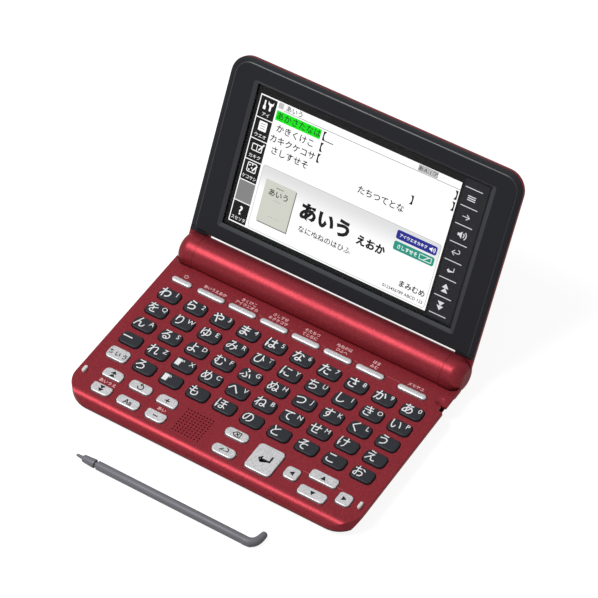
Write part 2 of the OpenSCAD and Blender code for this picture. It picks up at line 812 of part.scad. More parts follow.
// Back cover of the lid, with its knuckles
module lid_back_cover() {
    rim_z = lid_face - bezel_t - seat;
    color(red) on_lid() difference() {
        union() {
            lid_form(0, rim_z);
            both_ends() {
                knuckle_form(0, knuckle_x0, knuckle_x1);
                translate([0, lid_low + 1, 0]) rotate([90, 0, 0]) linear_extrude(lid_low + 1 - neck_y)
                    lid_edge(0, knuckle_x0, lid_half, rim_z);
            }
        }
        difference() {
            lid_form(lid_wall, rim_z + 1);
            translate([-lid_half, lid_low, lid_back]) cube([2 * lid_half, lid_wall + 0.4, lid_t]);
        }
        both_ends() knuckle_hollow();
    }
}

// Room inside a knuckle for the shaft and the cable
module knuckle_hollow() {
    shaft_end = knuckle_x0 + 3.4;
    translate([knuckle_x0 - 1, 0, 0]) rotate([0, 90, 0])
        cylinder(r = hinge_shaft_r + 0.02, h = shaft_end + 1 - knuckle_x0);
    translate([shaft_end - eps, -cable_bend_r, lid_floor + 0.2])
        cube([3, cable_bend + cable_bend_r, cable_bend_r - lid_floor]);
    translate([shaft_end - eps, 0, lid_floor + 0.2]) cube([3, lid_low + 3, 2 * cable_r + 0.3]);
}

// Dark bezel round the touch glass
module lid_bezel() {
    z = lid_face - bezel_t;
    lip = 1.5;
    color(charcoal) on_lid() difference() {
        union() {
            translate([0, 0, z]) linear_extrude(bezel_t) {
                lid_plan(bezel_rim);
                both_ends() translate([knuckle_x0 + bezel_rim, barrel_r + run])
                    square([lid_half - knuckle_x0 - 2 * bezel_rim, lid_slit + 1]);
            }
            translate([0, 0, glass_z]) linear_extrude(z - glass_z + eps) difference() {
                window_plan(lip);
                window_plan(0.05);
            }
        }
        translate([0, 0, z - 1]) linear_extrude(bezel_t + 2) window_plan(0.05);
    }
}

// Outline of the window, grown outwards
module window_plan(grow) {
    translate([window_x0 - grow, window_y0 - grow])
        square([window_x1 - window_x0 + 2 * grow, window_y1 - window_y0 + 2 * grow]);
}

// Touch glass in the bezel's window
module touch_glass() {
    color([0.1, 0.1, 0.12]) on_lid() translate([0, 0, glass_z]) linear_extrude(glass_t) window_plan(0);
}

// Display behind the glass
module display_panel() {
    m = 1;
    color([0.85, 0.9, 0.9]) on_lid() translate([display_x0 - m, display_low - m, panel_z])
        cube([display_w + 2 * m, display_h + 2 * m, panel_t]);
}

// Sheet metal frame behind the display
module display_frame() {
    m = 1.4;
    color([0.6, 0.6, 0.62]) on_lid() translate([display_x0 - m, display_low - m, lid_floor + seat])
        cube([display_w + 2 * m, display_h + 2 * m, panel_z - seat - lid_floor - seat]);
}

// Small board beside the display, which the cable reaches
module lid_board() {
    color([0.1, 0.35, 0.2]) on_lid() translate([-lid_board_w / 2, lid_board_y, lid_floor + seat])
        cube([lid_board_w, lid_board_d, 0.9]);
}

// Flat cable's round bundle from the barrel through the left hinge to the lid board
module display_cable() {
    x0 = partition_x + partition_t + 0.6;
    x1 = knuckle_x0 + 4.9;
    y = lid_board_y + lid_board_d / 2;
    bends = [[-x0, 0, 0], [-x1, 0, 0], [-x1, cable_bend, cable_z], [-x1, y, cable_z],
             [-lid_board_w / 2 - 0.1, y, cable_z]];
    color([0.35, 0.3, 0.25]) on_lid() for (i = [0:3]) {
        d = bends[i + 1] - bends[i];
        translate(bends[i]) rotate([0, acos(d[2] / norm(d)), atan2(d[1], d[0])])
            cylinder(r = cable_r, h = norm(d));
        if (i < 3) translate(bends[i + 1]) sphere(r = cable_r + seat, $fn = 32);
    }
}

// Stylus: shaft and hook, lying on the table
module stylus_shaft() {
    hook_x0 = stylus_x - hook_t;
    foot_x0 = hook_x0 - hook_t;
    r = hook_t / 2;
    shaft_x0 = stylus_x - stylus_l + stylus_tip_l;
    color(grey) placed() {
        translate([shaft_x0, stylus_y, stylus_r]) rotate([0, 90, 0]) {
            cylinder(r = stylus_r, h = foot_x0 + 1 - shaft_x0);
            translate([0, 0, -stylus_tip_l + 5]) cylinder(r = stylus_r - 0.9, h = stylus_tip_l - 5 + eps);
        }
        linear_extrude(2 * stylus_r) translate([0, stylus_y]) {
            translate([foot_x0, -r]) square([hook_t, 2 * r]);
            intersection() {
                translate([hook_x0, r]) circle(hook_t);
                translate([hook_x0 - eps, -r]) square(hook_t);
            }
            translate([hook_x0, r - eps]) square([hook_t, hook_reach - 2 * r]);
            translate([hook_x0 + r, hook_reach - r]) circle(r);
        }
    }
}

// Stylus tip with its nib, on a spigot of the shaft
module stylus_tip() {
    x0 = stylus_x - stylus_l;
    body = 6.6;
    gap = 0.7;
    color(grey) placed() translate([x0, stylus_y, stylus_r]) rotate([0, 90, 0]) difference() {
        rotate_extrude() polygon([[0, 0], [0.45, 0], [0.75, 0.5], [0.95, 3.6],
                                  [stylus_r - 0.5, 3.7], [stylus_r - 0.1, 4.4],
                                  [stylus_r - 0.1, 4.1 + body], [stylus_r - 0.3, stylus_tip_l - gap],
                                  [0, stylus_tip_l - gap]]);
        translate([0, 0, 4.95]) cylinder(r = stylus_r - 0.88, h = 10);
    }
}

// One key: cap and the flange that holds it under the cover
module key_solid(k) {
    translate([0, 0, flange_z]) linear_extrude(flange_t) key_outline(k, skirt);
    translate([0, 0, flange_z]) linear_extrude(key_top_z - flange_z) key_outline(k, 0);
}

// Column of kana keys
module kana_column(c) {
    color(slate) placed() for (r = [0:KANA[c][1] - 1])
        key_solid(["", col_x(c), row_y(r), key_w, key_d, kana_rr]);
}

// Single silver key
module single_key(k) {
    color(silver) placed() key_solid(k);
}

base_top_cover();
base_bottom_cover();
barrel_cover();
keypad_membrane();
main_board();
board_chips();
speaker();
battery_cells();
battery_contacts();
battery_cover();
case_screws();
rubber_feet();
lid_bumpers();
stylus_silo();
earphone_jack();
usb_port();
card_slot();
hinge_housings();
lid_back_cover();
lid_bezel();
touch_glass();
display_panel();
display_frame();
lid_board();
hinge_shafts();
display_cable();
stylus_shaft();
stylus_tip();
for (c = [0:9]) kana_column(c);
for (k = SINGLE) single_key(k);
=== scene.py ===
"""Looks of an electronic dictionary: keyboard base, hinged lid with a touch display, and stylus."""

import json
import logging
import math
from dataclasses import dataclass, field
from enum import Enum
from typing import Sequence

import bpy
from mathutils import Matrix, Vector


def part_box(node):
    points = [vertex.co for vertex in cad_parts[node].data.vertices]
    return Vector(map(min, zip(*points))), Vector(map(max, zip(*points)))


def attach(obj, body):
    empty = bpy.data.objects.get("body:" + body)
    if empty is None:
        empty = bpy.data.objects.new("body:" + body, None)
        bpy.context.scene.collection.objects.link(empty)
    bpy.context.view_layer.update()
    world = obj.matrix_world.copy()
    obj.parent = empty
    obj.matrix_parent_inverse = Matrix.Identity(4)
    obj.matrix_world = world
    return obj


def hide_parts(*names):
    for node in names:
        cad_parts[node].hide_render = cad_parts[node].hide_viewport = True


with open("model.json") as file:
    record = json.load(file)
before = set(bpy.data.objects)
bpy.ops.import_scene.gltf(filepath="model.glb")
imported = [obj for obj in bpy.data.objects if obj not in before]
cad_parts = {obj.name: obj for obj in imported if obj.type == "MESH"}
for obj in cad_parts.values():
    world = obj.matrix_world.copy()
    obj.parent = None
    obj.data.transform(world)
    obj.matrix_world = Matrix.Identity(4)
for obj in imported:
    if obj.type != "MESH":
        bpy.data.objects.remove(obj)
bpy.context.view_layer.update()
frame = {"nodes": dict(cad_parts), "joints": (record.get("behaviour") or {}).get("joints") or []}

LOG = logging.getLogger("dictionary")
MM = 0.001

Point = tuple[float, float, float]
Flat = tuple[float, float]
Four = tuple[float, float, float, float]
Faces = list[tuple[int, ...]]
Skin = tuple[list[Point], Faces]
Sheet = tuple[list[Flat], Faces]
Wire = tuple[bpy.types.NodeSocket, bpy.types.NodeSocket]


# Finishes

WHITE = (255, 255, 255)
# Base colour of a surface that gives out light, and depth of every grain's relief in metres
UNLIT = (0.01, 0.01, 0.01, 1.0)
RELIEF = 0.02 * MM


def linear(rgb: Sequence[float]) -> Four:
    """Turns a colour as seen on a screen into the shader's linear values.

    Args:
        rgb: Red, green and blue, each 0 to 255.

    Returns:
        Linear red, green, blue and an alpha of 1.
    """
    out = []
    for value in rgb:
        c = value / 255
        out.append(c / 12.92 if c <= 0.04045 else ((c + 0.055) / 1.055) ** 2.4)
    return (out[0], out[1], out[2], 1.0)


def set_values(node: bpy.types.Node, values: dict[str, object]) -> None:
    """Sets the constants on a node's own sockets, by the sockets' names."""
    for label, value in values.items():
        node.inputs[label].default_value = value


def join(tree: bpy.types.NodeTree, *pairs: Wire) -> None:
    """Links pairs of sockets in a tree, each from an output to an input."""
    for start, end in pairs:
        tree.links.new(start, end)


def maths(tree: bpy.types.NodeTree, operation: str, value: float | None = None) -> bpy.types.Node:
    """Adds a maths node to a tree.

    Args:
        tree: The node tree.
        operation: What the node works out.
        value: Constant for its second number, if that isn't linked.

    Returns:
        The new node.
    """
    node = tree.nodes.new("ShaderNodeMath")
    node.operation = operation
    if value is not None:
        node.inputs[1].default_value = value
    return node


class Effects:
    """Shader node groups that several finishes share."""

    @staticmethod
    def _new(
        name: str, inputs: dict[str, tuple[str, float]], outputs: Sequence[str]
    ) -> bpy.types.NodeTree:
        """Makes an empty shader group.

        Args:
            name: Name of the group.
            inputs: Socket name to its type and default.
            outputs: Names of the outputs, each a number.

        Returns:
            The group, with its input and output nodes named "in" and "out".
        """
        tree = bpy.data.node_groups.new(name, "ShaderNodeTree")
        for label, (kind, default) in inputs.items():
            socket = tree.interface.new_socket(name=label, in_out="INPUT", socket_type=kind)
            if kind == "NodeSocketFloat":
                socket.default_value = default
        for label in outputs:
            tree.interface.new_socket(name=label, in_out="OUTPUT", socket_type="NodeSocketFloat")
        tree.nodes.new("NodeGroupInput").name = "in"
        tree.nodes.new("NodeGroupOutput").name = "out"
        return tree

    @staticmethod
    def grain() -> bpy.types.NodeTree:
        """Fine moulded or sprayed grain: a height and a mask, from two sizes of noise.

        Returns:
            The shader group, made once.
        """
        name = "fine_grain"
        if name in bpy.data.node_groups:
            return bpy.data.node_groups[name]
        inputs = {"Vector": ("NodeSocketVector", 0.0), "Scale": ("NodeSocketFloat", 3000.0)}
        tree = Effects._new(name, inputs, ("Mask", "Height"))
        gin, gout = tree.nodes["in"], tree.nodes["out"]
        fine = tree.nodes.new("ShaderNodeTexNoise")
        set_values(fine, {"Detail": 2.0})
        flecks = tree.nodes.new("ShaderNodeTexVoronoi")
        set_values(flecks, {"Randomness": 1.0})
        grey = tree.nodes.new("ShaderNodeSeparateColor")
        mix = maths(tree, "MULTIPLY_ADD", 0.5)
        half = maths(tree, "MULTIPLY", 0.5)
        for node in (fine, flecks):
            for label in inputs:
                join(tree, (gin.outputs[label], node.inputs[label]))
        join(
            tree,
            (flecks.outputs["Color"], grey.inputs["Color"]),
            (fine.outputs["Fac"], half.inputs[0]),
            (grey.outputs["Red"], mix.inputs[0]),
            (half.outputs[0], mix.inputs[2]),
            (mix.outputs[0], gout.inputs["Mask"]),
            (fine.outputs["Fac"], gout.inputs["Height"]),
        )
        return tree

    @staticmethod
    def handling() -> bpy.types.NodeTree:
        """Broad soft marks left by hands, as a mask.

        Returns:
            The shader group, made once.
        """
        name = "handling_marks"
        if name in bpy.data.node_groups:
            return bpy.data.node_groups[name]
        inputs = {
            "Vector": ("NodeSocketVector", 0.0),
            "Scale": ("NodeSocketFloat", 40.0),
            "Low": ("NodeSocketFloat", 0.4),
            "High": ("NodeSocketFloat", 0.6),
        }
        tree = Effects._new(name, inputs, ("Value",))
        gin, gout = tree.nodes["in"], tree.nodes["out"]
        marks = tree.nodes.new("ShaderNodeTexNoise")
        set_values(marks, {"Detail": 4.0, "Roughness": 0.6})
        spread = tree.nodes.new("ShaderNodeMapRange")
        set_values(spread, {"From Min": 0.3, "From Max": 0.7})
        join(
            tree,
            (gin.outputs["Vector"], marks.inputs["Vector"]),
            (gin.outputs["Scale"], marks.inputs["Scale"]),
            (marks.outputs["Fac"], spread.inputs["Value"]),
            (gin.outputs["Low"], spread.inputs["To Min"]),
            (gin.outputs["High"], spread.inputs["To Max"]),
            (spread.outputs["Result"], gout.inputs["Value"]),
        )
        return tree


@dataclass(frozen=True)
class Finish:
    """One finish of a real surface.

    Attributes:
        name: Name of the material.
        rgb: Colour as seen, 0 to 255.
        roughness: Mean roughness.
        metallic: Share of metal.
        specular: Specular level of the bare surface.
        coat: Weight of a clear coat.
        coat_roughness: Roughness of the clear coat.
        grain: Scale of the grain, per metre.
        fleck: How far the grain changes the colour.
        bump: Strength of the grain's relief.
        marks: How far handling changes the roughness.
        glow: Strength of the surface's own light, for lit pixels.
        edge: Tint of the reflection, which shows most at a grazing view, 0 to 255.
        sheer: Share of light that a clear sheet mirrors at a grazing view; 0 for all but glass.
    """

    name: str
    rgb: Point
    roughness: float = 0.45
    metallic: float = 0.0
    specular: float = 0.5
    coat: float = 0.0
    coat_roughness: float = 0.15
    grain: float = 5000.0
    fleck: float = 0.05
    bump: float = 0.05
    marks: float = 0.06
    glow: float = 0.0
    edge: Point = WHITE
    sheer: float = 0.0

    def material(self) -> bpy.types.Material:
        """Builds the material once, and returns it.

        Returns:
            The Blender material of this finish.
        """
        if self.name in bpy.data.materials:
            return bpy.data.materials[self.name]
        mat = bpy.data.materials.new(self.name)
        mat.use_nodes = True
        mat.diffuse_color = linear(self.rgb)
        tree, new = mat.node_tree, mat.node_tree.nodes.new
        shader = tree.nodes["Principled BSDF"]
        shader_values = {
            "Metallic": self.metallic,
            "Specular IOR Level": self.specular,
            "Specular Tint": linear(self.edge),
            "Coat Weight": self.coat,
            "Coat Roughness": self.coat_roughness,
        }
        set_values(shader, shader_values)
        place = new("ShaderNodeTexCoord")
        grain = new("ShaderNodeGroup")
        grain.node_tree = Effects.grain()
        set_values(grain, {"Scale": self.grain})
        tint = new("ShaderNodeMix")
        tint.data_type = "RGBA"
        base = linear(self.rgb)
        dark = tuple(c * (1 - self.fleck) for c in base[:3]) + (1.0,)
        light = tuple(min(1.0, c * (1 + self.fleck)) for c in base[:3]) + (1.0,)
        set_values(tint, {"A": dark, "B": light})
        lit_up = self.glow > 0
        if lit_up:
            set_values(shader, {"Base Color": UNLIT, "Emission Strength": self.glow})
        handling = new("ShaderNodeGroup")
        handling.node_tree = Effects.handling()
        low, high = max(0.0, self.roughness - self.marks), min(1.0, self.roughness + self.marks)
        set_values(handling, {"Low": low, "High": high})
        join(
            tree,
            (place.outputs["Object"], grain.inputs["Vector"]),
            (grain.outputs["Mask"], tint.inputs["Factor"]),
            (tint.outputs["Result"], shader.inputs["Emission Color" if lit_up else "Base Color"]),
            (place.outputs["Object"], handling.inputs["Vector"]),
            (handling.outputs["Value"], shader.inputs["Roughness"]),
        )
        if self.bump > 0:
            bump = new("ShaderNodeBump")
            set_values(bump, {"Strength": self.bump, "Distance": RELIEF})
            join(
                tree,
                (grain.outputs["Height"], bump.inputs["Height"]),
                (bump.outputs["Normal"], shader.inputs["Normal"]),
            )
        if self.sheer > 0:
            self._make_sheer(tree)
        return mat

    def _make_sheer(self, tree: bpy.types.NodeTree) -> None:
        """Lets light through a clear sheet, which mirrors more of it towards a grazing view.

        Args:
            tree: The node tree of this finish's material.
        """
        facing = tree.nodes.new("ShaderNodeLayerWeight")
        set_values(facing, {"Blend": 0.5})
        power = maths(tree, "POWER", 5.0)
        share = maths(tree, "MULTIPLY", self.sheer)
        join(
            tree,
            (facing.outputs["Facing"], power.inputs[0]),
            (power.outputs[0], share.inputs[0]),
            (share.outputs[0], tree.nodes["Principled BSDF"].inputs["Alpha"]),
        )


@dataclass(frozen=True)
class FadedFinish(Finish):
    """Lit finish whose light changes evenly along one direction.

    Attributes:
        end_rgb: Colour at the far end, 0 to 255.
        along: Direction of the change.
        span: Where it starts and ends along that direction, in metres.
    """

    end_rgb: Point = WHITE
    along: Point = (0.0, 0.0, 1.0)
    span: Flat = (0.0, 1.0)

    def material(self) -> bpy.types.Material:
        """Builds the material once, and returns it.

        Returns:
            The Blender material of this finish.
        """
        if self.name in bpy.data.materials:
            return bpy.data.materials[self.name]
        mat = super().material()
        tree, new = mat.node_tree, mat.node_tree.nodes.new
        place = new("ShaderNodeTexCoord")
        reach = new("ShaderNodeVectorMath")
        reach.operation = "DOT_PRODUCT"
        reach.inputs[1].default_value = self.along
        share = new("ShaderNodeMapRange")
        share.interpolation_type = "SMOOTHSTEP"
        set_values(share, {"From Min": self.span[0], "From Max": self.span[1]})
        fade = new("ShaderNodeMix")
        fade.data_type = "RGBA"
        set_values(fade, {"A": linear(self.rgb), "B": linear(self.end_rgb)})
        join(
            tree,
            (place.outputs["Object"], reach.inputs[0]),
            (reach.outputs["Value"], share.inputs["Value"]),
            (share.outputs["Result"], fade.inputs["Factor"]),
            (fade.outputs["Result"], tree.nodes["Principled BSDF"].inputs["Emission Color"]),
        )
        return mat


RED_GRAIN = {"grain": 2600.0, "bump": 0.05, "marks": 0.03, "edge": (150, 70, 78)}
RED = Finish("metallic_red_paint", (136, 47, 55), 0.35, 0.42, 0.1, fleck=0.34, **RED_GRAIN)
# The top's red made darker for the lower covers: painted shade on the lower front and the
# underside.
RED_SHADED_UNDER = Finish("red_paint_underside", (102, 27, 34), 0.42, 0.3, 0.1, fleck=0.3, **RED_GRAIN)
CHARCOAL = Finish("charcoal_bezel", (19, 20, 26), 0.42, 0.0, 0.2, grain=7e3, fleck=0.1, bump=0.1)
# A lighter grey than the bezel, laid on its ridge and on the window bevel's slope as a painted
# highlight.
BEZEL_HIGHLIGHT_GREY = Finish("window_bevel", (44, 46, 52), 0.35, 0.0, 0.3, grain=7e3, bump=0.03)
SLATE = Finish("slate_key_plastic", (33, 36, 42), 0.45, 0.0, 0.22, grain=8e3, fleck=0.1, bump=0.06)
SILVER = Finish("silver_key_paint", (196, 195, 197), 0.38, 0.55, 0.5, 0.0, 0.3, 2600.0, 0.42, 0.05)
SATIN_GRAIN = {"grain": 7e3, "fleck": 0.08, "bump": 0.08, "edge": (120, 120, 120)}
SATIN_GREY = Finish("satin_grey_stylus", (116, 116, 122), 0.45, 0.15, 0.25, **SATIN_GRAIN)
BLACK_PLASTIC = Finish("black_plastic", (24, 24, 26), 0.45)
MEMBRANE = Finish("membrane_rubber", (58, 58, 62), 0.8, bump=0.15)
FOOT_RUBBER = Finish("foot_rubber", (30, 30, 32), 0.85, bump=0.2)
PALE_RUBBER = Finish("pale_rubber", (232, 222, 220), 0.6, bump=0.08)
BOARD_GREEN = Finish("solder_mask_green", (28, 92, 52), 0.4, coat=0.2)
CHIP = Finish("chip_epoxy", (30, 30, 32), 0.6)
CELL = Finish("cell_sleeve", (186, 158, 84), 0.3, 0.7)
STEEL = Finish("plated_steel", (186, 186, 190), 0.28, 0.95)
ALUMINIUM = Finish("pressed_aluminium", (168, 170, 174), 0.38, 0.9)
CABLE = Finish("cable_sleeve", (88, 76, 62), 0.55)
GLASS = Finish("touch_glass", WHITE, 0.04, 1.0, 0.5, fleck=0.0, bump=0.0, marks=0.01, sheer=0.9)
PANEL = Finish("display_backing", (20, 20, 22), 0.6)

FLAT_PRINT = {"fleck": 0.02, "bump": 0.0}
WHITE_INK = Finish("white_print", (236, 236, 238), 0.5, **FLAT_PRINT)
PALE_INK = Finish("pale_deck_print", (240, 190, 192), 0.5, **FLAT_PRINT)
LINE_INK = Finish("deck_line_print", (205, 92, 100), 0.5, **FLAT_PRINT)
BLACK_INK = Finish("black_print", (12, 12, 14), 0.5, 0.0, 0.2, **FLAT_PRINT)

LIT_SURFACE = {"roughness": 0.6, "specular": 0.1, "fleck": 0.01, "bump": 0.0, "glow": 1.05}


def lit(name: str, rgb: Point) -> Finish:
    """Returns the finish of lit pixels: black glass that gives out one colour, 0 to 255."""
    return Finish(name, rgb, **LIT_SURFACE)


class Pixel(Enum):
    """Colours that the display and the printed glass show."""

    WHITE = lit("pixel_white", (254, 254, 254))
    BLACK = lit("pixel_black", (8, 8, 9))
    TEXT = lit("pixel_text", (20, 20, 22))
    GREY = lit("pixel_grey", (128, 128, 128))
    RULE = lit("pixel_rule", (120, 120, 120))
    PALE = lit("pixel_pale_grey", (190, 190, 190))
    GREEN = lit("pixel_green", (0, 226, 10))
    DEEP_GREEN = lit("pixel_deep_green", (0, 90, 8))
    BLUE = lit("pixel_blue", (32, 40, 140))
    TEAL = lit("pixel_teal", (34, 146, 126))
    COVER = lit("pixel_book_cover", (203, 205, 195))
    SHADE = lit("pixel_book_shade", (120, 122, 116))
    # The mask and the touch strip are print under the glass, yet they glow like the pixels: painted
    # light that shows them lit whatever the lamps do.
    MASK = lit("glass_mask", (10, 10, 11))
    STRIP = lit("strip_field", (31, 31, 36))
    STRIP_LINE = lit("strip_print", (214, 214, 218))


# Meshes

# Smallest radius of a corner, in millimetres
LEAST_R = 0.02


def make_piece(
    name: str,
    verts: Sequence[Sequence[float]],
    faces: Faces,
    finish: Finish,
    body: str,
    stands_for: Sequence[str] = (),
    sharp: float = 32.0,
) -> bpy.types.Object:
    """Makes one piece of the object from points in metres.

    Args:
        name: Name of the piece.
        verts: Its points in the row frame.
        faces: Its faces, each seen anticlockwise from outside.
        finish: Its finish.
        body: The body that it rides on.
        stands_for: CAD nodes that the piece replaces.
        sharp: Edges steeper than this many degrees stay sharp.

    Returns:
        The new object.
    """
    mesh = bpy.data.meshes.new(name)
    mesh.from_pydata([tuple(v) for v in verts], [], faces)
    mesh.validate()
    return place_mesh(name, mesh, finish, body, stands_for, sharp)


def place_mesh(
    name: str,
    mesh: bpy.types.Mesh,
    finish: Finish,
    body: str,
    stands_for: Sequence[str] = (),
    sharp: float = 32.0,
) -> bpy.types.Object:
    """Puts a finished mesh in the scene as a piece that rides on a body.

    Args:
        name: Name of the piece.
        mesh: Its mesh, in place.
        finish: Its finish.
        body: The body that it rides on.
        stands_for: CAD nodes that the piece replaces.
        sharp: Edges steeper than this many degrees stay sharp.

    Returns:
        The new object.
    """
    mesh.name = name
    mesh.materials.clear()
    mesh.materials.append(finish.material())
    mesh.shade_smooth()
    mesh.set_sharp_from_angle(angle=math.radians(sharp))
    obj = bpy.data.objects.new(name, mesh)
    bpy.context.scene.collection.objects.link(obj)
    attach(obj, body)
    if stands_for:
        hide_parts(*stands_for)
    LOG.info("%s: %d faces on %s", name, len(mesh.polygons), body)
    return obj


def ring(
    x0: float,
    x1: float,
    y0: float,
    y1: float,
    radii: Sequence[float],
    z: float,
    steps: int = 6,
) -> list[Point]:
    """Rounded rectangle as one loop of points, anticlockwise from the front left corner.

    Args:
        x0: Left side.
        x1: Right side.
        y0: Front side.
        y1: Rear side.
        radii: Corner radii: front left, front right, rear right, rear left.
        z: Height of the loop.
        steps: Points on each corner, less one.

    Returns:
        The points.
    """
    corners = ((x0, y0, 1, 1, 180), (x1, y0, -1, 1, 270), (x1, y1, -1, -1, 0), (x0, y1, 1, -1, 90))
    points = []
    for (x, y, sx, sy, start), r in zip(corners, radii):
        r = max(r, LEAST_R)
        for i in range(steps + 1):
            a = math.radians(start + 90 * i / steps)
            points.append((x + sx * r + r * math.cos(a), y + sy * r + r * math.sin(a), z))
    return points


def loft(rings: Sequence[Sequence[Point]], closed: bool = False) -> Skin:
    """Joins loops of the same number of points into a skin.

    Args:
        rings: Loops, each anticlockwise seen from the skin's far end.
        closed: Whether the last loop joins the first one, as on a frame; else both ends get a face.

    Returns:
        Points and faces.
    """
    n = len(rings[0])
    verts = [p for r in rings for p in r]
    faces: Faces = []
    pairs = len(rings) if closed else len(rings) - 1
    for k in range(pairs):
        a, b = k * n, ((k + 1) % len(rings)) * n
        for i in range(n):
            j = (i + 1) % n
            faces.append((a + i, a + j, b + j, b + i))
    if not closed:
        faces.append(tuple(range(n - 1, -1, -1)))
        faces.append(tuple((len(rings) - 1) * n + i for i in range(n)))
    return verts, faces


def merge(parts: Sequence[Skin]) -> Skin:
    """Puts several skins in one list of points and faces.

    Args:
        parts: The skins.

    Returns:
        Points and faces of all of them.
    """
    verts: list[Point] = []
    faces: Faces = []
    for points, sides in parts:
        base = len(verts)
        verts.extend(points)
        faces.extend(tuple(base + i for i in f) for f in sides)
    return verts, faces


@dataclass(frozen=True)
class Plane:
    """A flat face of the object, on which marks are drawn in millimetres."""

    origin: Vector
    across: Vector
    along: Vector

    def place(self, x: float, y: float, z: float) -> Vector:
        """Returns the row frame's point, in metres, for a place on the plane in millimetres."""
        up = self.across.cross(self.along)
        return self.origin + (self.across * x + self.along * y + up * z) * MM


HINGE = next(j for j in frame["joints"] if j["name"] == "lid_hinge")
AXIS = Vector(HINGE["pos_m"])
TILT = math.radians(60.4)
FRONT_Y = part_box("base_top_cover")[0].y
# Heights above the table, and how far print reaches below and above a face, in millimetres
DECK_Z = 9.8
KEY_TOP_Z = 10.7
PRINT_SINK = 0.01
PRINT_T = 0.03
DECK = Plane(Vector((0, FRONT_Y, 0)), Vector((1, 0, 0)), Vector((0, 1, 0)))
LID = Plane(AXIS, Vector((1, 0, 0)), Vector((0, math.cos(TILT), math.sin(TILT))))


class Stencil:
    """Flat marks drawn in millimetres on one plane, made into one thin solid piece."""

    _cache: dict[tuple[str, float, str], Sheet] = {}
    _writer: bpy.types.Object | None = None
    _mid_height = 0.37
    _corner_steps = 5

    def __init__(self) -> None:
        """Starts with nothing drawn."""
        self.points: list[Flat] = []
        self.faces: Faces = []

    def _add(self, points: Sequence[Flat], faces: Faces) -> None:
        """Adds flat faces, each turned to face outwards.

        Args:
            points: Their corners, in millimetres.
            faces: Which corners each face has.
        """
        base = len(self.points)
        self.points.extend(points)
        for face in faces:
            area = 0.0
            for a, b in zip(face, face[1:] + face[:1]):
                area += points[a][0] * points[b][1] - points[b][0] * points[a][1]
            turned = face if area > 0 else tuple(reversed(face))
            self.faces.append(tuple(base + i for i in turned))

    @classmethod
    def _glyphs(cls, words: str, weight: float, align: str) -> Sheet:
        """Letters as flat faces one unit high.

        Args:
            words: The letters.
            weight: How much thicker than regular, as a share of the height.
            align: LEFT, CENTER or RIGHT.

        Returns:
            Flat points and faces.
        """
        key = (words, weight, align)
        if key not in cls._cache:
            if cls._writer is None:
                curve = bpy.data.curves.new("writer", "FONT")
                curve.resolution_u = 3
                cls._writer = bpy.data.objects.new("writer", curve)
                bpy.context.scene.collection.objects.link(cls._writer)
            curve = cls._writer.data
            curve.body, curve.offset, curve.align_x = words, weight, align
            bpy.context.view_layer.update()
            shown = cls._writer.evaluated_get(bpy.context.evaluated_depsgraph_get())
            mesh = bpy.data.meshes.new_from_object(shown)
            points = [(v.co.x, v.co.y) for v in mesh.vertices]
            cls._cache[key] = (points, [tuple(p.vertices) for p in mesh.polygons])
            bpy.data.meshes.remove(mesh)
        return cls._cache[key]

    @classmethod
    def put_away(cls) -> None:
        """Removes the object that wrote the letters."""
        if cls._writer is not None:
            bpy.data.objects.remove(cls._writer)
            cls._writer = None

    def text(
        self,
        words: str,
        x: float,
        y: float,
        size: float,
        squeeze: float = 1.0,
        weight: float = 0.0,
        align: str = "CENTER",
    ) -> None:
        """Draws generic letters, digits or signs.

        Args:
            words: What is drawn.
            x: Middle, or the end that align names.
            y: Middle of the letters' height.
            size: Height of the full letter square.
            squeeze: Width against height.
            weight: Extra thickness, as a share of the size.
            align: LEFT, CENTER or RIGHT.
        """
        points, faces = self._glyphs(words, weight, align)
        wide, mid = size * squeeze, self._mid_height
        self._add([(x + p[0] * wide, y + (p[1] - mid) * size) for p in points], faces)

    def poly(self, points: Sequence[Flat]) -> None:
        """Draws one filled outline without holes."""
        self._add(list(points), [tuple(range(len(points)))])

    def _loop(self, x0: float, y0: float, x1: float, y1: float, r: float) -> list[Flat]:
        """Returns the outline of a rectangle with its corners rounded by r."""
        return [p[:2] for p in ring(x0, x1, y0, y1, (r,) * 4, 0.0, self._corner_steps)]

    def box(self, x0: float, y0: float, x1: float, y1: float, r: float = 0.0) -> None:
        """Draws a filled rectangle.

        Args:
            x0: Left side.
            y0: Front side.
            x1: Right side.
            y1: Rear side.
            r: Radius of its corners.
        """
        if r <= 0:
            self.poly([(x0, y0), (x1, y0), (x1, y1), (x0, y1)])
        else:
            self.poly(self._loop(x0, y0, x1, y1, r))

    def frame(self, x0: float, y0: float, x1: float, y1: float, t: float, r: float = 0.0) -> None:
        """Draws a rectangle's outline.

        Args:
            x0: Left side.
            y0: Front side.
            x1: Right side.
            y1: Rear side.
            t: Thickness of the outline, inside the rectangle's edge.
            r: Radius of its corners.
        """
        outer = self._loop(x0, y0, x1, y1, r)
        inner = self._loop(x0 + t, y0 + t, x1 - t, y1 - t, r - t)
        n = len(outer)
        self._add(outer + inner, [(i, (i + 1) % n, n + (i + 1) % n, n + i) for i in range(n)])

    def line(self, x0: float, y0: float, x1: float, y1: float, t: float) -> None:
        """Draws a straight line.

        Args:
            x0: Start across.
            y0: Start front to back.
            x1: End across.
            y1: End front to back.
            t: Its thickness.
        """
        dx, dy = x1 - x0, y1 - y0
        length = math.hypot(dx, dy)
        nx, ny = -dy / length * t / 2, dx / length * t / 2
        self.poly([(x0 - nx, y0 - ny), (x1 - nx, y1 - ny), (x1 + nx, y1 + ny), (x0 + nx, y0 + ny)])

    def arrow(self, x: float, y: float, w: float, h: float, turn: float = 0.0) -> None:
        """Draws a filled triangle that points up.

        Args:
            x: Its middle across.
            y: Its middle front to back.
            w: Its width.
            h: Its height.
            turn: How far it is turned, in degrees.
        """
        c, s = math.cos(math.radians(turn)), math.sin(math.radians(turn))
        corners = ((-w / 2, -h / 2), (w / 2, -h / 2), (0.0, h / 2))
        self.poly([(x + p * c - q * s, y + p * s + q * c) for p, q in corners])

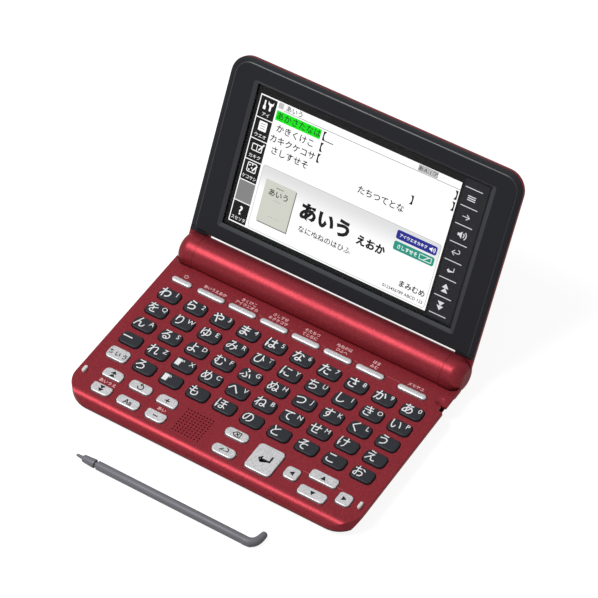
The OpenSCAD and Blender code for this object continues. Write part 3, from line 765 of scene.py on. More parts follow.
    def arcs(self, x: float, y: float, radii: Sequence[float], t: float, half: float) -> None:
        """Draws arcs round one middle, to its right.

        Args:
            x: The middle across.
            y: The middle front to back.
            radii: Radius of each arc.
            t: Their thickness.
            half: Degrees of arc above and below the line to the right.
        """
        steps = 6
        turns = [math.radians(-half + 2 * half * k / steps) for k in range(steps + 1)]
        rays = [(math.cos(a), math.sin(a)) for a in turns]
        n = len(rays)
        for r in radii:
            rim = [(x + c * (r + t / 2), y + s * (r + t / 2)) for c, s in rays]
            bore = [(x + c * (r - t / 2), y + s * (r - t / 2)) for c, s in rays]
            self._add(rim + bore, [(i, i + 1, n + i + 1, n + i) for i in range(n - 1)])

    def build(
        self, name: str, plane: Plane, z: float, thick: float, finish: Finish, body: str
    ) -> bpy.types.Object:
        """Makes the marks one piece of even thickness.

        Args:
            name: Name of the piece.
            plane: The plane that it lies on.
            z: Height of its underside above the plane.
            thick: Its thickness.
            finish: Its finish.
            body: The body that it rides on.

        Returns:
            The new object.
        """
        n = len(self.points)
        verts = [plane.place(x, y, z) for x, y in self.points]
        verts += [plane.place(x, y, z + thick) for x, y in self.points]
        edges = {(a, b) for f in self.faces for a, b in zip(f, f[1:] + f[:1])}
        faces: Faces = [tuple(n + i for i in f) for f in self.faces]
        faces += [tuple(reversed(f)) for f in self.faces]
        faces += [(a, b, n + b, n + a) for a, b in sorted(edges) if (b, a) not in edges]
        return make_piece(name, verts, faces, finish, body, sharp=20.0)


# Repeats


class Repeat:
    """Geometry Nodes tree that sets one shape along a row or on given points."""

    @staticmethod
    def _tree(name: str, inputs: dict[str, str]) -> bpy.types.NodeTree:
        """Makes a geometry tree with named inputs.

        Args:
            name: Name of the tree.
            inputs: Socket name to its type.

        Returns:
            The tree, with nodes named "in" and "out".
        """
        tree = bpy.data.node_groups.new(name, "GeometryNodeTree")
        new, shape = tree.interface.new_socket, "NodeSocketGeometry"
        new(name="Geometry", in_out="INPUT", socket_type=shape)
        for label, kind in inputs.items():
            new(name=label, in_out="INPUT", socket_type=kind)
        new(name="Geometry", in_out="OUTPUT", socket_type=shape)
        tree.nodes.new("NodeGroupInput").name = "in"
        tree.nodes.new("NodeGroupOutput").name = "out"
        return tree

    @staticmethod
    def _finish(tree: bpy.types.NodeTree, spots: bpy.types.NodeSocket) -> None:
        """Ends a tree: the shape on every spot, made real, in its material.

        Args:
            tree: The geometry tree.
            spots: The socket that gives the points.
        """
        gin, gout, new = tree.nodes["in"], tree.nodes["out"], tree.nodes.new
        shape = new("GeometryNodeObjectInfo")
        onto = new("GeometryNodeInstanceOnPoints")
        real = new("GeometryNodeRealizeInstances")
        paint = new("GeometryNodeSetMaterial")
        join(
            tree,
            (gin.outputs["Shape"], shape.inputs["Object"]),
            (spots, onto.inputs["Points"]),
            (shape.outputs["Geometry"], onto.inputs["Instance"]),
            (onto.outputs["Instances"], real.inputs["Geometry"]),
            (real.outputs["Geometry"], paint.inputs["Geometry"]),
            (gin.outputs["Material"], paint.inputs["Material"]),
            (paint.outputs["Geometry"], gout.inputs["Geometry"]),
        )

    @classmethod
    def row(cls) -> bpy.types.NodeTree:
        """Tree that repeats a shape along a straight row.

        Returns:
            The tree, made once.
        """
        name = "row_of_shapes"
        if name in bpy.data.node_groups:
            return bpy.data.node_groups[name]
        inputs = {
            "Shape": "NodeSocketObject",
            "Count": "NodeSocketInt",
            "Start": "NodeSocketVector",
            "Pitch": "NodeSocketVector",
            "Material": "NodeSocketMaterial",
        }
        tree = cls._tree(name, inputs)
        line = tree.nodes.new("GeometryNodeMeshLine")
        line.mode = "OFFSET"
        for label, socket in (("Count", "Count"), ("Start", "Start Location"), ("Pitch", "Offset")):
            join(tree, (tree.nodes["in"].outputs[label], line.inputs[socket]))
        cls._finish(tree, line.outputs["Mesh"])
        return tree

    @classmethod
    def spots(cls) -> bpy.types.NodeTree:
        """Tree that sets a shape on each point of the mesh that it is given.

        Returns:
            The tree, made once.
        """
        name = "shapes_on_spots"
        if name in bpy.data.node_groups:
            return bpy.data.node_groups[name]
        tree = cls._tree(name, {"Shape": "NodeSocketObject", "Material": "NodeSocketMaterial"})
        cls._finish(tree, tree.nodes["in"].outputs["Geometry"])
        return tree

    @staticmethod
    def run(
        tree: bpy.types.NodeTree, spots: Sequence[Point], values: dict[str, object]
    ) -> bpy.types.Mesh:
        """Runs a tree and returns its result as a plain mesh.

        Args:
            tree: The geometry tree.
            spots: Points that the tree is given, in metres.
            values: Input name to its value.

        Returns:
            The new mesh.
        """
        mesh = bpy.data.meshes.new("spots")
        mesh.from_pydata(list(spots), [], [])
        obj = bpy.data.objects.new("spots", mesh)
        modifier = obj.modifiers.new("repeat", "NODES")
        modifier.node_group = tree
        for item in tree.interface.items_tree:
            if item.item_type == "SOCKET" and item.in_out == "INPUT" and item.name in values:
                modifier[item.identifier] = values[item.name]
        bpy.context.scene.collection.objects.link(obj)
        bpy.context.view_layer.update()
        shown = obj.evaluated_get(bpy.context.evaluated_depsgraph_get())
        result = bpy.data.meshes.new_from_object(shown)
        obj.modifiers.clear()
        bpy.data.objects.remove(obj)
        bpy.data.meshes.remove(mesh)
        return result


def pattern(name: str, verts: Sequence[Sequence[float]], faces: Faces) -> bpy.types.Object:
    """Makes the shape that a repeat copies, at the origin.

    Args:
        name: Name of the shape.
        verts: Its points in metres.
        faces: Its faces.

    Returns:
        The object, which is removed after its last use.
    """
    mesh = bpy.data.meshes.new(name)
    mesh.from_pydata([tuple(v) for v in verts], [], faces)
    obj = bpy.data.objects.new(name, mesh)
    bpy.context.scene.collection.objects.link(obj)
    return obj


# Keyboard


# Corner radii of the pill-shaped keys and of the rear and front key of a pair, in millimetres
PILL_R = (1.49,) * 4
PAIR_REAR = (1.0, 1.0, 2.3, 2.3)
PAIR_FRONT = (2.3, 2.3, 1.0, 1.0)
SIGN_WEIGHT = 0.018


class KeyStyle(Enum):
    """Shapes of key cap: how far each loop stands in from the edge, and its depth below the top."""

    KANA = ((0.0, 0.62), (0.05, 0.40), (0.16, 0.20), (0.34, 0.07), (0.58, 0.01), (0.9, 0.0))
    SILVER = ((0.0, 0.50), (0.04, 0.30), (0.13, 0.13), (0.28, 0.04), (0.48, 0.0), (0.7, 0.0))
    PILL = ((0.0, 0.66), (0.07, 0.42), (0.22, 0.22), (0.48, 0.08), (0.85, 0.015), (1.2, 0.0))


@dataclass(frozen=True)
class Key:
    """One silver key: its CAD node, style, corner radii, and the sign printed on it."""

    node: str
    style: KeyStyle
    radii: Four
    sign: str = ""
    size: float = 3.2
    turn: float = 0.0


@dataclass
class Keyboard:
    """Keys of the base: ten columns of kana keys and the silver keys, with their legends.

    Sizes are millimetres, heights are above the table, and legends are placed from a key's middle.
    """

    key_w: float = 10.4
    key_d: float = 6.8
    key_r: float = 2.2
    skirt: float = 0.6
    flange_z: float = 7.9
    flange_t: float = 0.6
    least_r: float = 0.12
    sign_at: Flat = (-2.1, 0.5)
    sign_size: float = 6.3
    sign_squeeze: float = 0.93
    letter_at: Flat = (3.2, 1.75)
    letter_size: float = 3.35
    block: Four = (-4.3, -1.55, -1.95, 2.1)
    mark_at: Flat = (0.55, -0.3)
    mark_size: float = 5.2
    pair_step: float = 0.85
    pair_size: Flat = (2.9, 1.7)
    columns: tuple[tuple[str, str, str], ...] = (
        ("keys_wa", "わをんー", "1QA "),
        ("keys_ra", "らりるれろ", "2WSZ "),
        ("keys_ya", "やゆよ゛゜", "3EDX "),
        ("keys_ma", "まみむめも", "4RFC "),
        ("keys_ha", "はひふへほ", "5TGV "),
        ("keys_na", "なにぬねの", "6YHB "),
        ("keys_ta", "たちつてと", "7UJN "),
        ("keys_sa", "さしすせそ", "8IKM "),
        ("keys_ka", "かきくけこ", "9OL  "),
        ("keys_a", "あいうえお", "0P   "),
    )
    singles: tuple[Key, ...] = (
        Key("power_key", KeyStyle.PILL, PILL_R),
        *(Key(f"function_key_{k}", KeyStyle.PILL, PILL_R) for k in range(1, 7)),
        Key("menu_key", KeyStyle.PILL, PILL_R),
        Key("small_letter_key", KeyStyle.SILVER, (1.9,) * 4, "ぁぃぅ", 3.5),
        Key("page_up_key", KeyStyle.SILVER, PAIR_REAR, "up2"),
        Key("page_down_key", KeyStyle.SILVER, PAIR_FRONT, "down2"),
        Key("history_key", KeyStyle.SILVER, (1.9,) * 4, "↺", 4.2),
        Key("text_size_key", KeyStyle.SILVER, (1.9,) * 4, "Aa", 3.8),
        Key("volume_up_key", KeyStyle.SILVER, PAIR_REAR, "+", 4.6),
        Key("volume_down_key", KeyStyle.SILVER, PAIR_FRONT, "−", 4.6),
        Key("delete_key", KeyStyle.SILVER, (2.3,) * 4, "⌫", 3.9),
        Key("back_key", KeyStyle.SILVER, (2.3,) * 4, "↩", 4.3),
        Key("enter_key", KeyStyle.SILVER, (2.0,) * 4, "↵", 7.4),
        Key("left_key", KeyStyle.SILVER, (1.9, 1.5, 1.5, 1.9), "tri", 2.5, 90.0),
        Key("up_key", KeyStyle.SILVER, (1.4, 1.4, 1.6, 1.6), "tri", 2.5, 0.0),
        Key("down_key", KeyStyle.SILVER, (1.6, 1.6, 1.4, 1.4), "tri", 2.5, 180.0),
        Key("right_key", KeyStyle.SILVER, (1.5, 1.9, 1.9, 1.5), "tri", 2.5, 270.0),
    )

    def cap(self, w: float, d: float, radii: Sequence[float], style: KeyStyle) -> Skin:
        """Skin of one key in millimetres, with its middle at the origin and its true heights.

        Args:
            w: Width.
            d: Depth.
            radii: Corner radii.
            style: Shape of the top's edge.

        Returns:
            Points and faces.
        """
        low, high = self.flange_z, self.flange_z + self.flange_t
        loops = [(self.skirt, low), (self.skirt, high), (0.0, high)]
        loops += [(-inset, KEY_TOP_Z - drop) for inset, drop in style.value]
        rings = []
        for grow, z in loops:
            a, b = w / 2 + grow, d / 2 + grow
            rings.append(ring(-a, a, -b, b, [max(r + grow, self.least_r) for r in radii], z))
        return loft(rings)

    def _middle(self, node: str) -> Four:
        """Reads where a single key's cap is on the deck, from its CAD node.

        Args:
            node: Name of the node.

        Returns:
            Its middle across and front to back, its width and its depth, in millimetres.
        """
        low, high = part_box(node)
        x, y = (low.x + high.x) / 2 / MM, ((low.y + high.y) / 2 - FRONT_Y) / MM
        return x, y, (high.x - low.x) / MM - 2 * self.skirt, (high.y - low.y) / MM - 2 * self.skirt

    def kana_columns(self) -> None:
        """Builds the kana keys, one piece for each column, and prints them."""
        verts, faces = self.cap(self.key_w, self.key_d, (self.key_r,) * 4, KeyStyle.KANA)
        shape = pattern("kana_cap", [Vector(v) * MM for v in verts], faces)
        for node, kana, latin in self.columns:
            low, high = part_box(node)
            count = len(kana)
            x = (low.x + high.x) / 2
            rear = high.y - (self.key_d / 2 + self.skirt) * MM
            front = low.y + (self.key_d / 2 + self.skirt) * MM
            pitch = (rear - front) / (count - 1)
            values = {
                "Shape": shape,
                "Count": count,
                "Start": (x, rear, 0.0),
                "Pitch": (0.0, -pitch, 0.0),
                "Material": SLATE.material(),
            }
            mesh = Repeat.run(Repeat.row(), [(0.0, 0.0, 0.0)], values)
            place_mesh(node + "_caps", mesh, SLATE, node, [node])
            legends = Stencil()
            for i, (letter, small) in enumerate(zip(kana, latin)):
                cx, cy = x / MM, (rear - i * pitch - FRONT_Y) / MM
                self._kana_legend(legends, letter, small, cx, cy, i == 0)
            top = KEY_TOP_Z - PRINT_SINK
            legends.build(node + "_legends", DECK, top, PRINT_T, WHITE_INK, node)
        bpy.data.objects.remove(shape)

    def _kana_legend(
        self, marks: Stencil, letter: str, small: str, x: float, y: float, bold: bool
    ) -> None:
        """Prints one kana key: its large sign at the left and its small letter at the right.

        Args:
            marks: The stencil that is drawn on.
            letter: The large sign.
            small: The small letter, or a space.
            x: Middle of the key across.
            y: Middle of the key front to back.
            bold: Whether the large sign is heavy, as in the rear row.
        """
        if letter in "゛゜":
            x0, y0, x1, y1 = self.block
            marks.box(x + x0, y + y0, x + x1, y + y1)
            dx, dy = self.mark_at
            marks.text(letter, x + dx, y + dy, self.mark_size, 1.0, 0.006)
        else:
            dx, dy = self.sign_at
            weight = 0.012 if bold else 0.004
            marks.text(letter, x + dx, y + dy, self.sign_size, self.sign_squeeze, weight)
        if small != " ":
            dx, dy = self.letter_at
            marks.text(small, x + dx, y + dy, self.letter_size, 1.0, 0.004)

    def silver_keys(self) -> None:
        """Builds each silver key and prints its sign."""
        for key in self.singles:
            x, y, w, d = self._middle(key.node)
            verts, faces = self.cap(w, d, key.radii, key.style)
            moved = [DECK.place(v[0] + x, v[1] + y, v[2]) for v in verts]
            make_piece(key.node + "_cap", moved, faces, SILVER, key.node, [key.node])
            if not key.sign:
                continue
            marks = Stencil()
            if key.sign == "tri":
                marks.arrow(x, y, key.size, key.size * 0.85, key.turn)
            elif key.sign in ("up2", "down2"):
                turn = 0.0 if key.sign == "up2" else 180.0
                for dy in (self.pair_step, -self.pair_step):
                    marks.arrow(x, y + dy, *self.pair_size, turn)
            else:
                marks.text(key.sign, x, y, key.size, 1.0, SIGN_WEIGHT)
            top = KEY_TOP_Z - PRINT_SINK
            marks.build(key.node + "_sign", DECK, top, PRINT_T, BLACK_INK, key.node)

    def build(self) -> None:
        """Builds all keys."""
        self.kana_columns()
        self.silver_keys()


# Base


@dataclass
class Deck:
    """Print on the keyboard cover, and the small pieces that repeat on the base.

    Sizes are millimetres, and places on the plan are from the middle and the front edge.
    """

    label_y: float = 81.6
    label_size: float = 2.05
    label_weight: float = 0.014
    line_y: float = 79.6
    line_t: float = 0.16
    arrow_line_y: float = 17.2
    arrow_lines: tuple[Flat, ...] = ((40.2, 43.2), (57.2, 60.2))
    pair_labels: tuple[tuple[str, Flat], ...] = (("あいうえ", (-57.9, 13.1)), ("あい", (-29.6, 13.1)))
    bumper_h: float = 1.3
    bumper_half: Flat = (0.8, 1.8)
    bumper_places: tuple[Flat, ...] = ((-70.7, 14.0), (70.7, 14.0))
    foot_r: float = 3.6
    foot_places: tuple[Flat, ...] = ((-60.0, 13.0), (60.0, 13.0), (-58.7, 94.6), (58.7, 94.6))
    labels: tuple[tuple[str, tuple[str, ...]], ...] = (
        ("power_key", ("⏻",)),
        ("function_key_1", ("あいうえおか",)),
        ("function_key_2", ("きくけこ", "アイウエオカ")),
        ("function_key_3", ("さしすせ", "キクケコサ")),
        ("function_key_4", ("そたちつ", "てとなに")),
        ("function_key_5", ("ぬねのは", "ひふへ")),
        ("function_key_6", ("ほま", "みむ")),
        ("menu_key", ("メモヤユ",)),
    )

    def print_labels(self) -> None:
        """Prints small generic letters above the function keys and between the paired keys."""
        marks = Stencil()
        for node, rows in self.labels:
            low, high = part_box(node)
            x = (low.x + high.x) / 2 / MM
            size = self.label_size
            if rows == ("⏻",):
                marks.text(rows[0], x, self.label_y - 0.1, 2.6)
                continue
            for i, row in enumerate(reversed(rows)):
                y = self.label_y - 0.4 + i * size * 1.15
                marks.text(row, x, y, size, 0.98, self.label_weight)
        for words, (x, y) in self.pair_labels:
            marks.text(words, x, y, 2.1, 1.05, self.label_weight)
        marks.build("deck_labels", DECK, DECK_Z - PRINT_SINK, PRINT_T, PALE_INK, "base")

    def print_lines(self) -> None:
        """Prints the thin lines that join the function keys and the arrow keys."""
        marks = Stencil()
        pills = [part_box(node) for node, _ in self.labels[1:]]
        for (_, left), (right, _) in zip(pills, pills[1:]):
            marks.line(left.x / MM - 0.2, self.line_y, right.x / MM + 0.2, self.line_y, self.line_t)
        for x0, x1 in self.arrow_lines:
            marks.line(x0, self.arrow_line_y, x1, self.arrow_line_y, self.line_t)
        marks.build("deck_lines", DECK, DECK_Z - PRINT_SINK, PRINT_T, LINE_INK, "base")

    def studs(
        self,
        name: str,
        node: str,
        spots: Sequence[Flat],
        rings: list[list[Point]],
        finish: Finish,
    ) -> None:
        """Sets one lofted shape on several places and replaces the CAD node that holds them.

        Args:
            name: Name of the piece.
            node: The CAD node that it stands for.
            spots: Places on the deck's plan, in millimetres.
            rings: Loops of the shape, in millimetres.
            finish: Its finish.
        """
        verts, faces = loft(rings)
        shape = pattern(name + "_shape", [Vector(v) * MM for v in verts], faces)
        places = [tuple(DECK.place(x, y, 0.0)) for x, y in spots]
        mesh = Repeat.run(Repeat.spots(), places, {"Shape": shape, "Material": finish.material()})
        place_mesh(name, mesh, finish, "base", [node])
        bpy.data.objects.remove(shape)

    def bumpers(self) -> None:
        """Builds the two pale pads that the closed lid rests on."""
        top = DECK_Z + self.bumper_h
        a, b = self.bumper_half
        drops = [(0.0, self.bumper_h), (0.0, 0.45), (0.06, 0.25)]
        drops += [(0.2, 0.08), (0.42, 0.0), (0.6, 0.0)]
        rings = []
        for inset, drop in drops:
            x, y = a - inset, b - inset
            rings.append(ring(-x, x, -y, y, (x - 0.01,) * 4, top - drop))
        places = self.bumper_places
        self.studs("lid_rest_pads", "lid_bumpers", places, rings, PALE_RUBBER)

    def feet(self) -> None:
        """Builds the four rubber feet, each with a soft edge."""
        rings = []
        for inset, z in ((0.3, 0.0), (0.08, 0.1), (0.0, 0.25), (0.0, 0.62)):
            r = self.foot_r - inset
            rings.append(ring(-r, r, -r, r, (r - 0.01,) * 4, z, 8))
        self.studs("feet_pads", "rubber_feet", self.foot_places, rings, FOOT_RUBBER)

    def build(self) -> None:
        """Builds the print, pads and feet."""
        self.print_labels()
        self.print_lines()
        self.bumpers()
        self.feet()


# Lid


@dataclass
class Bezel:
    """Dark bezel of the lid: a sloped rim, a flat face and a bevel down to the touch glass.

    Sizes are millimetres on the lid's plane, from the hinge axis: across, up, and out of it.
    """

    half: float = 73.5
    low: float = 9.7
    high: float = 95.9
    corner: float = 9.4
    under: float = -1.2
    window: Four = (-58.85, 59.25, 17.9, 85.6)
    rim: tuple[Flat, ...] = (
        (0.0, -1.02),
        (0.06, -0.94),
        (0.20, -0.88),
        (2.20, -0.72),
        (2.34, -0.68),
        (2.52, -0.56),
        (2.70, -0.46),
        (2.92, -0.42),
        (3.40, -0.41),
    )
    bevel: tuple[Flat, ...] = (
        (1.15, -0.41),
        (1.0, -0.42),
        (0.94, -0.45),
        (0.12, -0.96),
        (0.04, -1.02),
    )
    throat: tuple[Flat, ...] = ((0.02, -1.2), (0.02, -2.08), (0.62, -2.08), (0.62, -1.2))
    # Faces of these steps take the lighter grey: painted highlight on the window bevel's slope and
    # on the rim's ridge.
    highlit_slope_step: int = 2
    highlit_ridge_steps: tuple[int, ...] = (5, 6)
    reach: Four = (2.4, 2.4, 2.1, 1.3)
    wide_r: float = 1.3
    tight_r: float = 0.3
    neck_x: Flat = (64.7, 73.3)
    neck_y: Flat = (8.65, 10.6)
    neck_r: float = 0.25
    neck: tuple[Flat, ...] = ((0.0, -1.2), (0.0, -0.55), (0.06, -0.45), (0.2, -0.41))
    steps: int = 8

    def _rim_ring(self, inset: float, n: float) -> list[Point]:
        """Loop round the outside, which keeps close to the lower edge.

        Args:
            inset: How far it stands in from the sides and the upper edge.
            n: Its height above the lid's plane.

        Returns:
            The points.
        """
        low = self.low + min(inset, 0.3) * 0.5
        half, tight, top = self.half - inset, self.tight_r, self.corner - inset
        return ring(-half, half, low, self.high - inset, (tight, tight, top, top), n, self.steps)

    def _window_ring(self, grow: float, n: float, radius: float) -> list[Point]:
        """Loop round the window.

        Args:
            grow: How far it stands out from the window, as a share of each side's reach.
            n: Its height above the lid's plane.
            radius: Radius of its corners.

        Returns:
            The points.
        """
        x0, x1, y0, y1 = self.window
        a, b, c, d = (r * grow for r in self.reach)
        return ring(x0 - a, x1 + b, y0 - c, y1 + d, (radius,) * 4, n, self.steps)

    def build(self) -> None:
        """Builds the bezel with its two necks, which reach down beside the barrel."""
        wide, tight = self.wide_r, self.tight_r
        rings = [self._rim_ring(0.0, self.under)]
        rings += [self._rim_ring(inset, n) for inset, n in self.rim]
        rings += [self._window_ring(g, n, wide if g > 0.5 else tight) for g, n in self.bevel]
        rings += [self._window_ring(g, n, tight) for g, n in self.throat]
        skins = [loft(rings, closed=True)]
        y0, y1 = self.neck_y
        for side in (-1, 1):
            x0, x1 = sorted(side * x for x in self.neck_x)
            corners = (self.neck_r,) * 4
            skins.append(loft([ring(x0 + i, x1 - i, y0 + i, y1, corners, n) for i, n in self.neck]))
        verts, faces = merge(skins)
        points = [LID.place(*v) for v in verts]
        name, slot, node = "lid_bezel_frame", "dark_plastic", "lid_bezel"
        obj = make_piece(name, points, faces, CHARCOAL, "lid", [node], 40.0)
        # The ridge and the bevel's slope get the lighter grey, a painted highlight.
        obj.data.materials.append(BEZEL_HIGHLIGHT_GREY.material())
        sides = len(rings[0])
        for step in (*self.highlit_ridge_steps, 1 + len(self.rim) + self.highlit_slope_step):
            for k in range(step * sides, (step + 1) * sides):
                obj.data.polygons[k].material_index = 1


@dataclass
class Screen:
    """Lit picture of the display, the mask round it and the touch strip, all under the glass.

    Sizes are millimetres on the lid's plane, as on the bezel.
    """

    panel: Four = (-57.2, 46.5, 19.6, 83.0)
    panel_n: Flat = (-3.7, -2.34)
    step: float = 0.024
    opening: Four = (-58.75, 59.15, 18.0, 85.5)
    mask_n: float = -2.185
    field_n: float = -2.165
    sign_n: float = -2.145
    sheet_t: float = 0.01
    picture: Four = (-57.0, 45.3, 19.9, 81.6)
    cells: tuple[float, ...] = (81.2, 70.8, 60.7, 50.6, 40.5, 30.3, 20.2)
    cell_x: Flat = (-56.8, -48.1)
    cell_line_t: float = 0.42
    fade_v: Flat = (51.2, 36.0)
    strip_field: Four = (46.5, 18.9, 58.2, 84.6)
    strip_x: Flat = (47.2, 55.6)
    strip_top: float = 80.8
    strip_pitch: float = 8.57
    inks: dict[tuple[Pixel, int], Stencil] = field(default_factory=dict)

    def ink(self, colour: Pixel, layer: int) -> Stencil:
        """Stencil of one colour on one layer, counted up from the panel."""
        return self.inks.setdefault((colour, layer), Stencil())

    def icon_column(self) -> None:
        """Draws the six framed cells at the picture's left side."""
        x0, x1 = self.cell_x
        mid = (x0 + x1) / 2
        self.ink(Pixel.BLACK, 2).box(x0, self.cells[-1], x1, self.cells[0])
        self.ink(Pixel.GREY, 3).box(x0, self.cells[5] + 0.2, x1, self.cells[4] - 0.2)
        white = self.ink(Pixel.WHITE, 4)
        t = self.cell_line_t
        for v in self.cells:
            white.line(x0, v, x1, v, t)
        for x in (x0, x1):
            white.line(x, self.cells[-1] - 0.2, x, self.cells[0] + 0.2, t)
        tags = ("アイ", "ウエオ", "カキク", "ケコサシ", "", "スセソタ")
        for k, tag in enumerate(tags):
            v = self.cells[k + 1]
            if tag:
                white.text(tag, mid, v + 2.1, 2.1, min(1.0, 3.6 / len(tag)), 0.002)
        v = self.cells[1]
        white.box(-54.4, v + 6.0, -53.7, v + 8.6)
        white.box(-54.7, v + 4.3, -53.4, v + 6.1, 0.3)
        white.box(-51.6, v + 4.3, -50.7, v + 7.0, 0.3)
        jaw = [(-1.35, 8.8), (-0.75, 7.9), (0.75, 7.9), (1.35, 8.8)]
        jaw += [(1.35, 7.4), (0.55, 6.6), (-0.55, 6.6), (-1.35, 7.4)]
        white.poly([(x - 51.15, v + y) for x, y in jaw])
        v = self.cells[2]
        white.box(-54.4, v + 4.4, -50.3, v + 8.9, 0.4)
        pale = self.ink(Pixel.GREY, 5)
        for k in range(3):
            pale.line(-53.6, v + 5.6 + k * 1.1, -51.1, v + 5.6 + k * 1.1, 0.3)
        v = self.cells[3]
        white.frame(-55.0, v + 4.6, -49.7, v + 8.0, 0.4, 0.4)
        white.line(-52.4, v + 4.8, -52.4, v + 7.9, 0.3)
        white.line(-51.4, v + 5.6, -49.2, v + 8.9, 0.6)
        v = self.cells[4]
        white.frame(-54.8, v + 4.5, -50.0, v + 9.1, 0.4, 0.7)
        for x, y in ((-53.6, 7.8), (-52.4, 6.6), (-53.6, 5.6), (-52.3, 8.2)):
            white.box(x - 0.35, v + y - 0.35, x + 0.35, v + y + 0.35, 0.3)
        white.line(-51.9, v + 5.4, -49.9, v + 8.3, 0.6)
        white.text("?", mid + 0.1, self.cells[6] + 6.3, 5.6, 1.1, 0.02)

    def search_rows(self) -> None:
        """Draws the status line, the marked row and the rows below it."""
        text, black = self.ink(Pixel.TEXT, 3), self.ink(Pixel.BLACK, 3)
        rule = self.ink(Pixel.RULE, 2)
        self.ink(Pixel.PALE, 2).box(-47.5, 78.4, -44.9, 81.1)
        text.text("あいう", -39.2, 79.8, 3.0, 1.0, 0.012)
        rule.line(-44.5, 78.05, 45.2, 78.05, 0.26)
        for k, sign in enumerate(("あ", "A", "1", "ア")):
            x = 25.1 + k * 2.45
            self.ink(Pixel.PALE, 2).box(x - 1.1, 78.5, x + 1.1, 81.2)
            text.frame(x - 1.15, 78.45, x + 1.15, 81.25, 0.14)
            text.text(sign, x, 79.85, 2.3, 1.0, 0.012)
        self.ink(Pixel.GREEN, 2).box(-47.6, 72.7, -24.4, 77.3)
        self.ink(Pixel.DEEP_GREEN, 3).text("あかさたなは", -35.8, 75.1, 3.9, 0.98, 0.014)
        rows = (
            ("かきくけこ", -36.0, 69.6),
            ("カキクケコサ", -36.0, 64.3),
            ("さしすせそ", -36.0, 59.1),
            ("たちつてとな", 11.0, 59.1),
        )
        for words, x, v in rows:
            text.text(words, x, v, 3.95, 1.0, 0.016)
        for v in (75.0, 69.7, 64.4):
            black.text("【", -23.9, v, 4.4, 1.0, 0.02)
        for x, v in ((45.2, 75.0), (45.2, 69.7), (26.2, 64.6)):
            black.text("】", x + 0.2, v, 4.4, 1.0, 0.02)
        text.line(-22.1, 73.1, -17.5, 73.1, 0.4)

    def lower_panel(self) -> None:
        """Draws the panel below: a plain book, heavy letters, two badges and small letters."""
        high, low = self.fade_v
        span = tuple(LID.along.dot(LID.place(0, v, 0)) for v in self.fade_v)
        finish = FadedFinish(
            "pixel_panel_fade",
            (218, 218, 219),
            end_rgb=Pixel.WHITE.value.rgb,
            along=tuple(LID.along),
            span=span,
            **LIT_SURFACE,
        )
        shade = Stencil()
        shade.box(-46.9, low, 44.2, high)
        shade.build("panel_fade", LID, self.panel_n[1] + self.step, self.step / 2, finish, "lid")
        self.ink(Pixel.PALE, 3).frame(-47.2, 20.5, 44.5, 51.4, 0.3, 1.5)
        self.ink(Pixel.SHADE, 3).box(-43.5, 25.0, -27.9, 45.3)
        self.ink(Pixel.COVER, 4).box(-44.0, 25.5, -28.4, 45.7)
        black, text = self.ink(Pixel.BLACK, 5), self.ink(Pixel.TEXT, 5)
        text.text("あいう", -36.2, 40.6, 3.6, 1.0, 0.014)
        text.text("・ー・", -36.2, 37.4, 1.4)
        text.line(-38.2, 43.4, -34.3, 43.4, 0.25)
        text.text("・・・・", -36.0, 29.4, 1.1, 1.2, 0.02)
        black.text("あいう", -11.2, 38.9, 8.6, 1.05, 0.05)
        black.text("えおか", 12.3, 37.4, 4.9, 1.0, 0.045)
        text.text("なにぬねのはひふ", -9.6, 30.4, 3.4, 1.0, 0.014)
        text.text("まみむめ", 36.5, 26.8, 3.4, 1.0, 0.024)
        text.text("0123456789 ABCD 123", 43.2, 22.9, 2.1, 1.0, 0.012, "RIGHT")
        white = self.ink(Pixel.WHITE, 5)
        badges = (
            (Pixel.BLUE, "アイウエオカキク", 31.2, 47.5, 1.85),
            (Pixel.TEAL, "さしすせそ", 29.5, 42.3, 2.2),
        )
        for colour, words, x, v, size in badges:
            self.ink(colour, 3).box(22.7, v - 2.1, 43.0, v + 2.1, 0.9)
            white.text(words, x, v, size, 0.95, 0.016)
            if colour is Pixel.BLUE:
                self._speaker(white, 40.0, v, 1.0)
            else:
                white.frame(35.6, v - 1.2, 41.8, v + 1.2, 0.25, 0.3)
                white.line(38.0, v - 0.8, 40.4, v + 1.0, 0.35)

    @staticmethod
    def _speaker(marks: Stencil, x: float, y: float, k: float) -> None:
        """Draws a loudspeaker sign.

        Args:
            marks: The stencil that is drawn on.
            x: Its middle across.
            y: Its middle up and down.
            k: Its scale.
        """
        marks.box(x - 0.7 * k, y - 0.4 * k, x - 0.1 * k, y + 0.4 * k)
        horn = ((-0.1, -0.4), (0.7, -1.1), (0.7, 1.1), (-0.1, 0.4))
        marks.poly([(x + a * k, y + b * k) for a, b in horn])
        marks.arcs(x + 0.5 * k, y, (0.9 * k, 1.6 * k), 0.3 * k, 45.0)

    def mask(self) -> None:
        """Builds the dark mask, open over the picture, and the touch strip's field."""
        x0, x1, y0, y1 = self.opening
        a, b, c, d = self.picture
        marks = Stencil()
        for box in ((x0, y0, a, y1), (b, y0, x1, y1), (a, y0, b, c), (a, d, b, y1)):
            marks.box(*box)
        # The mask and the strip's field glow, which is painted light.
        marks.build("screen_mask", LID, self.mask_n, self.sheet_t, Pixel.MASK.value, "lid")
        ground = Stencil()
        ground.box(*self.strip_field)
        ground.build("strip_field", LID, self.field_n, self.sheet_t, Pixel.STRIP.value, "lid")

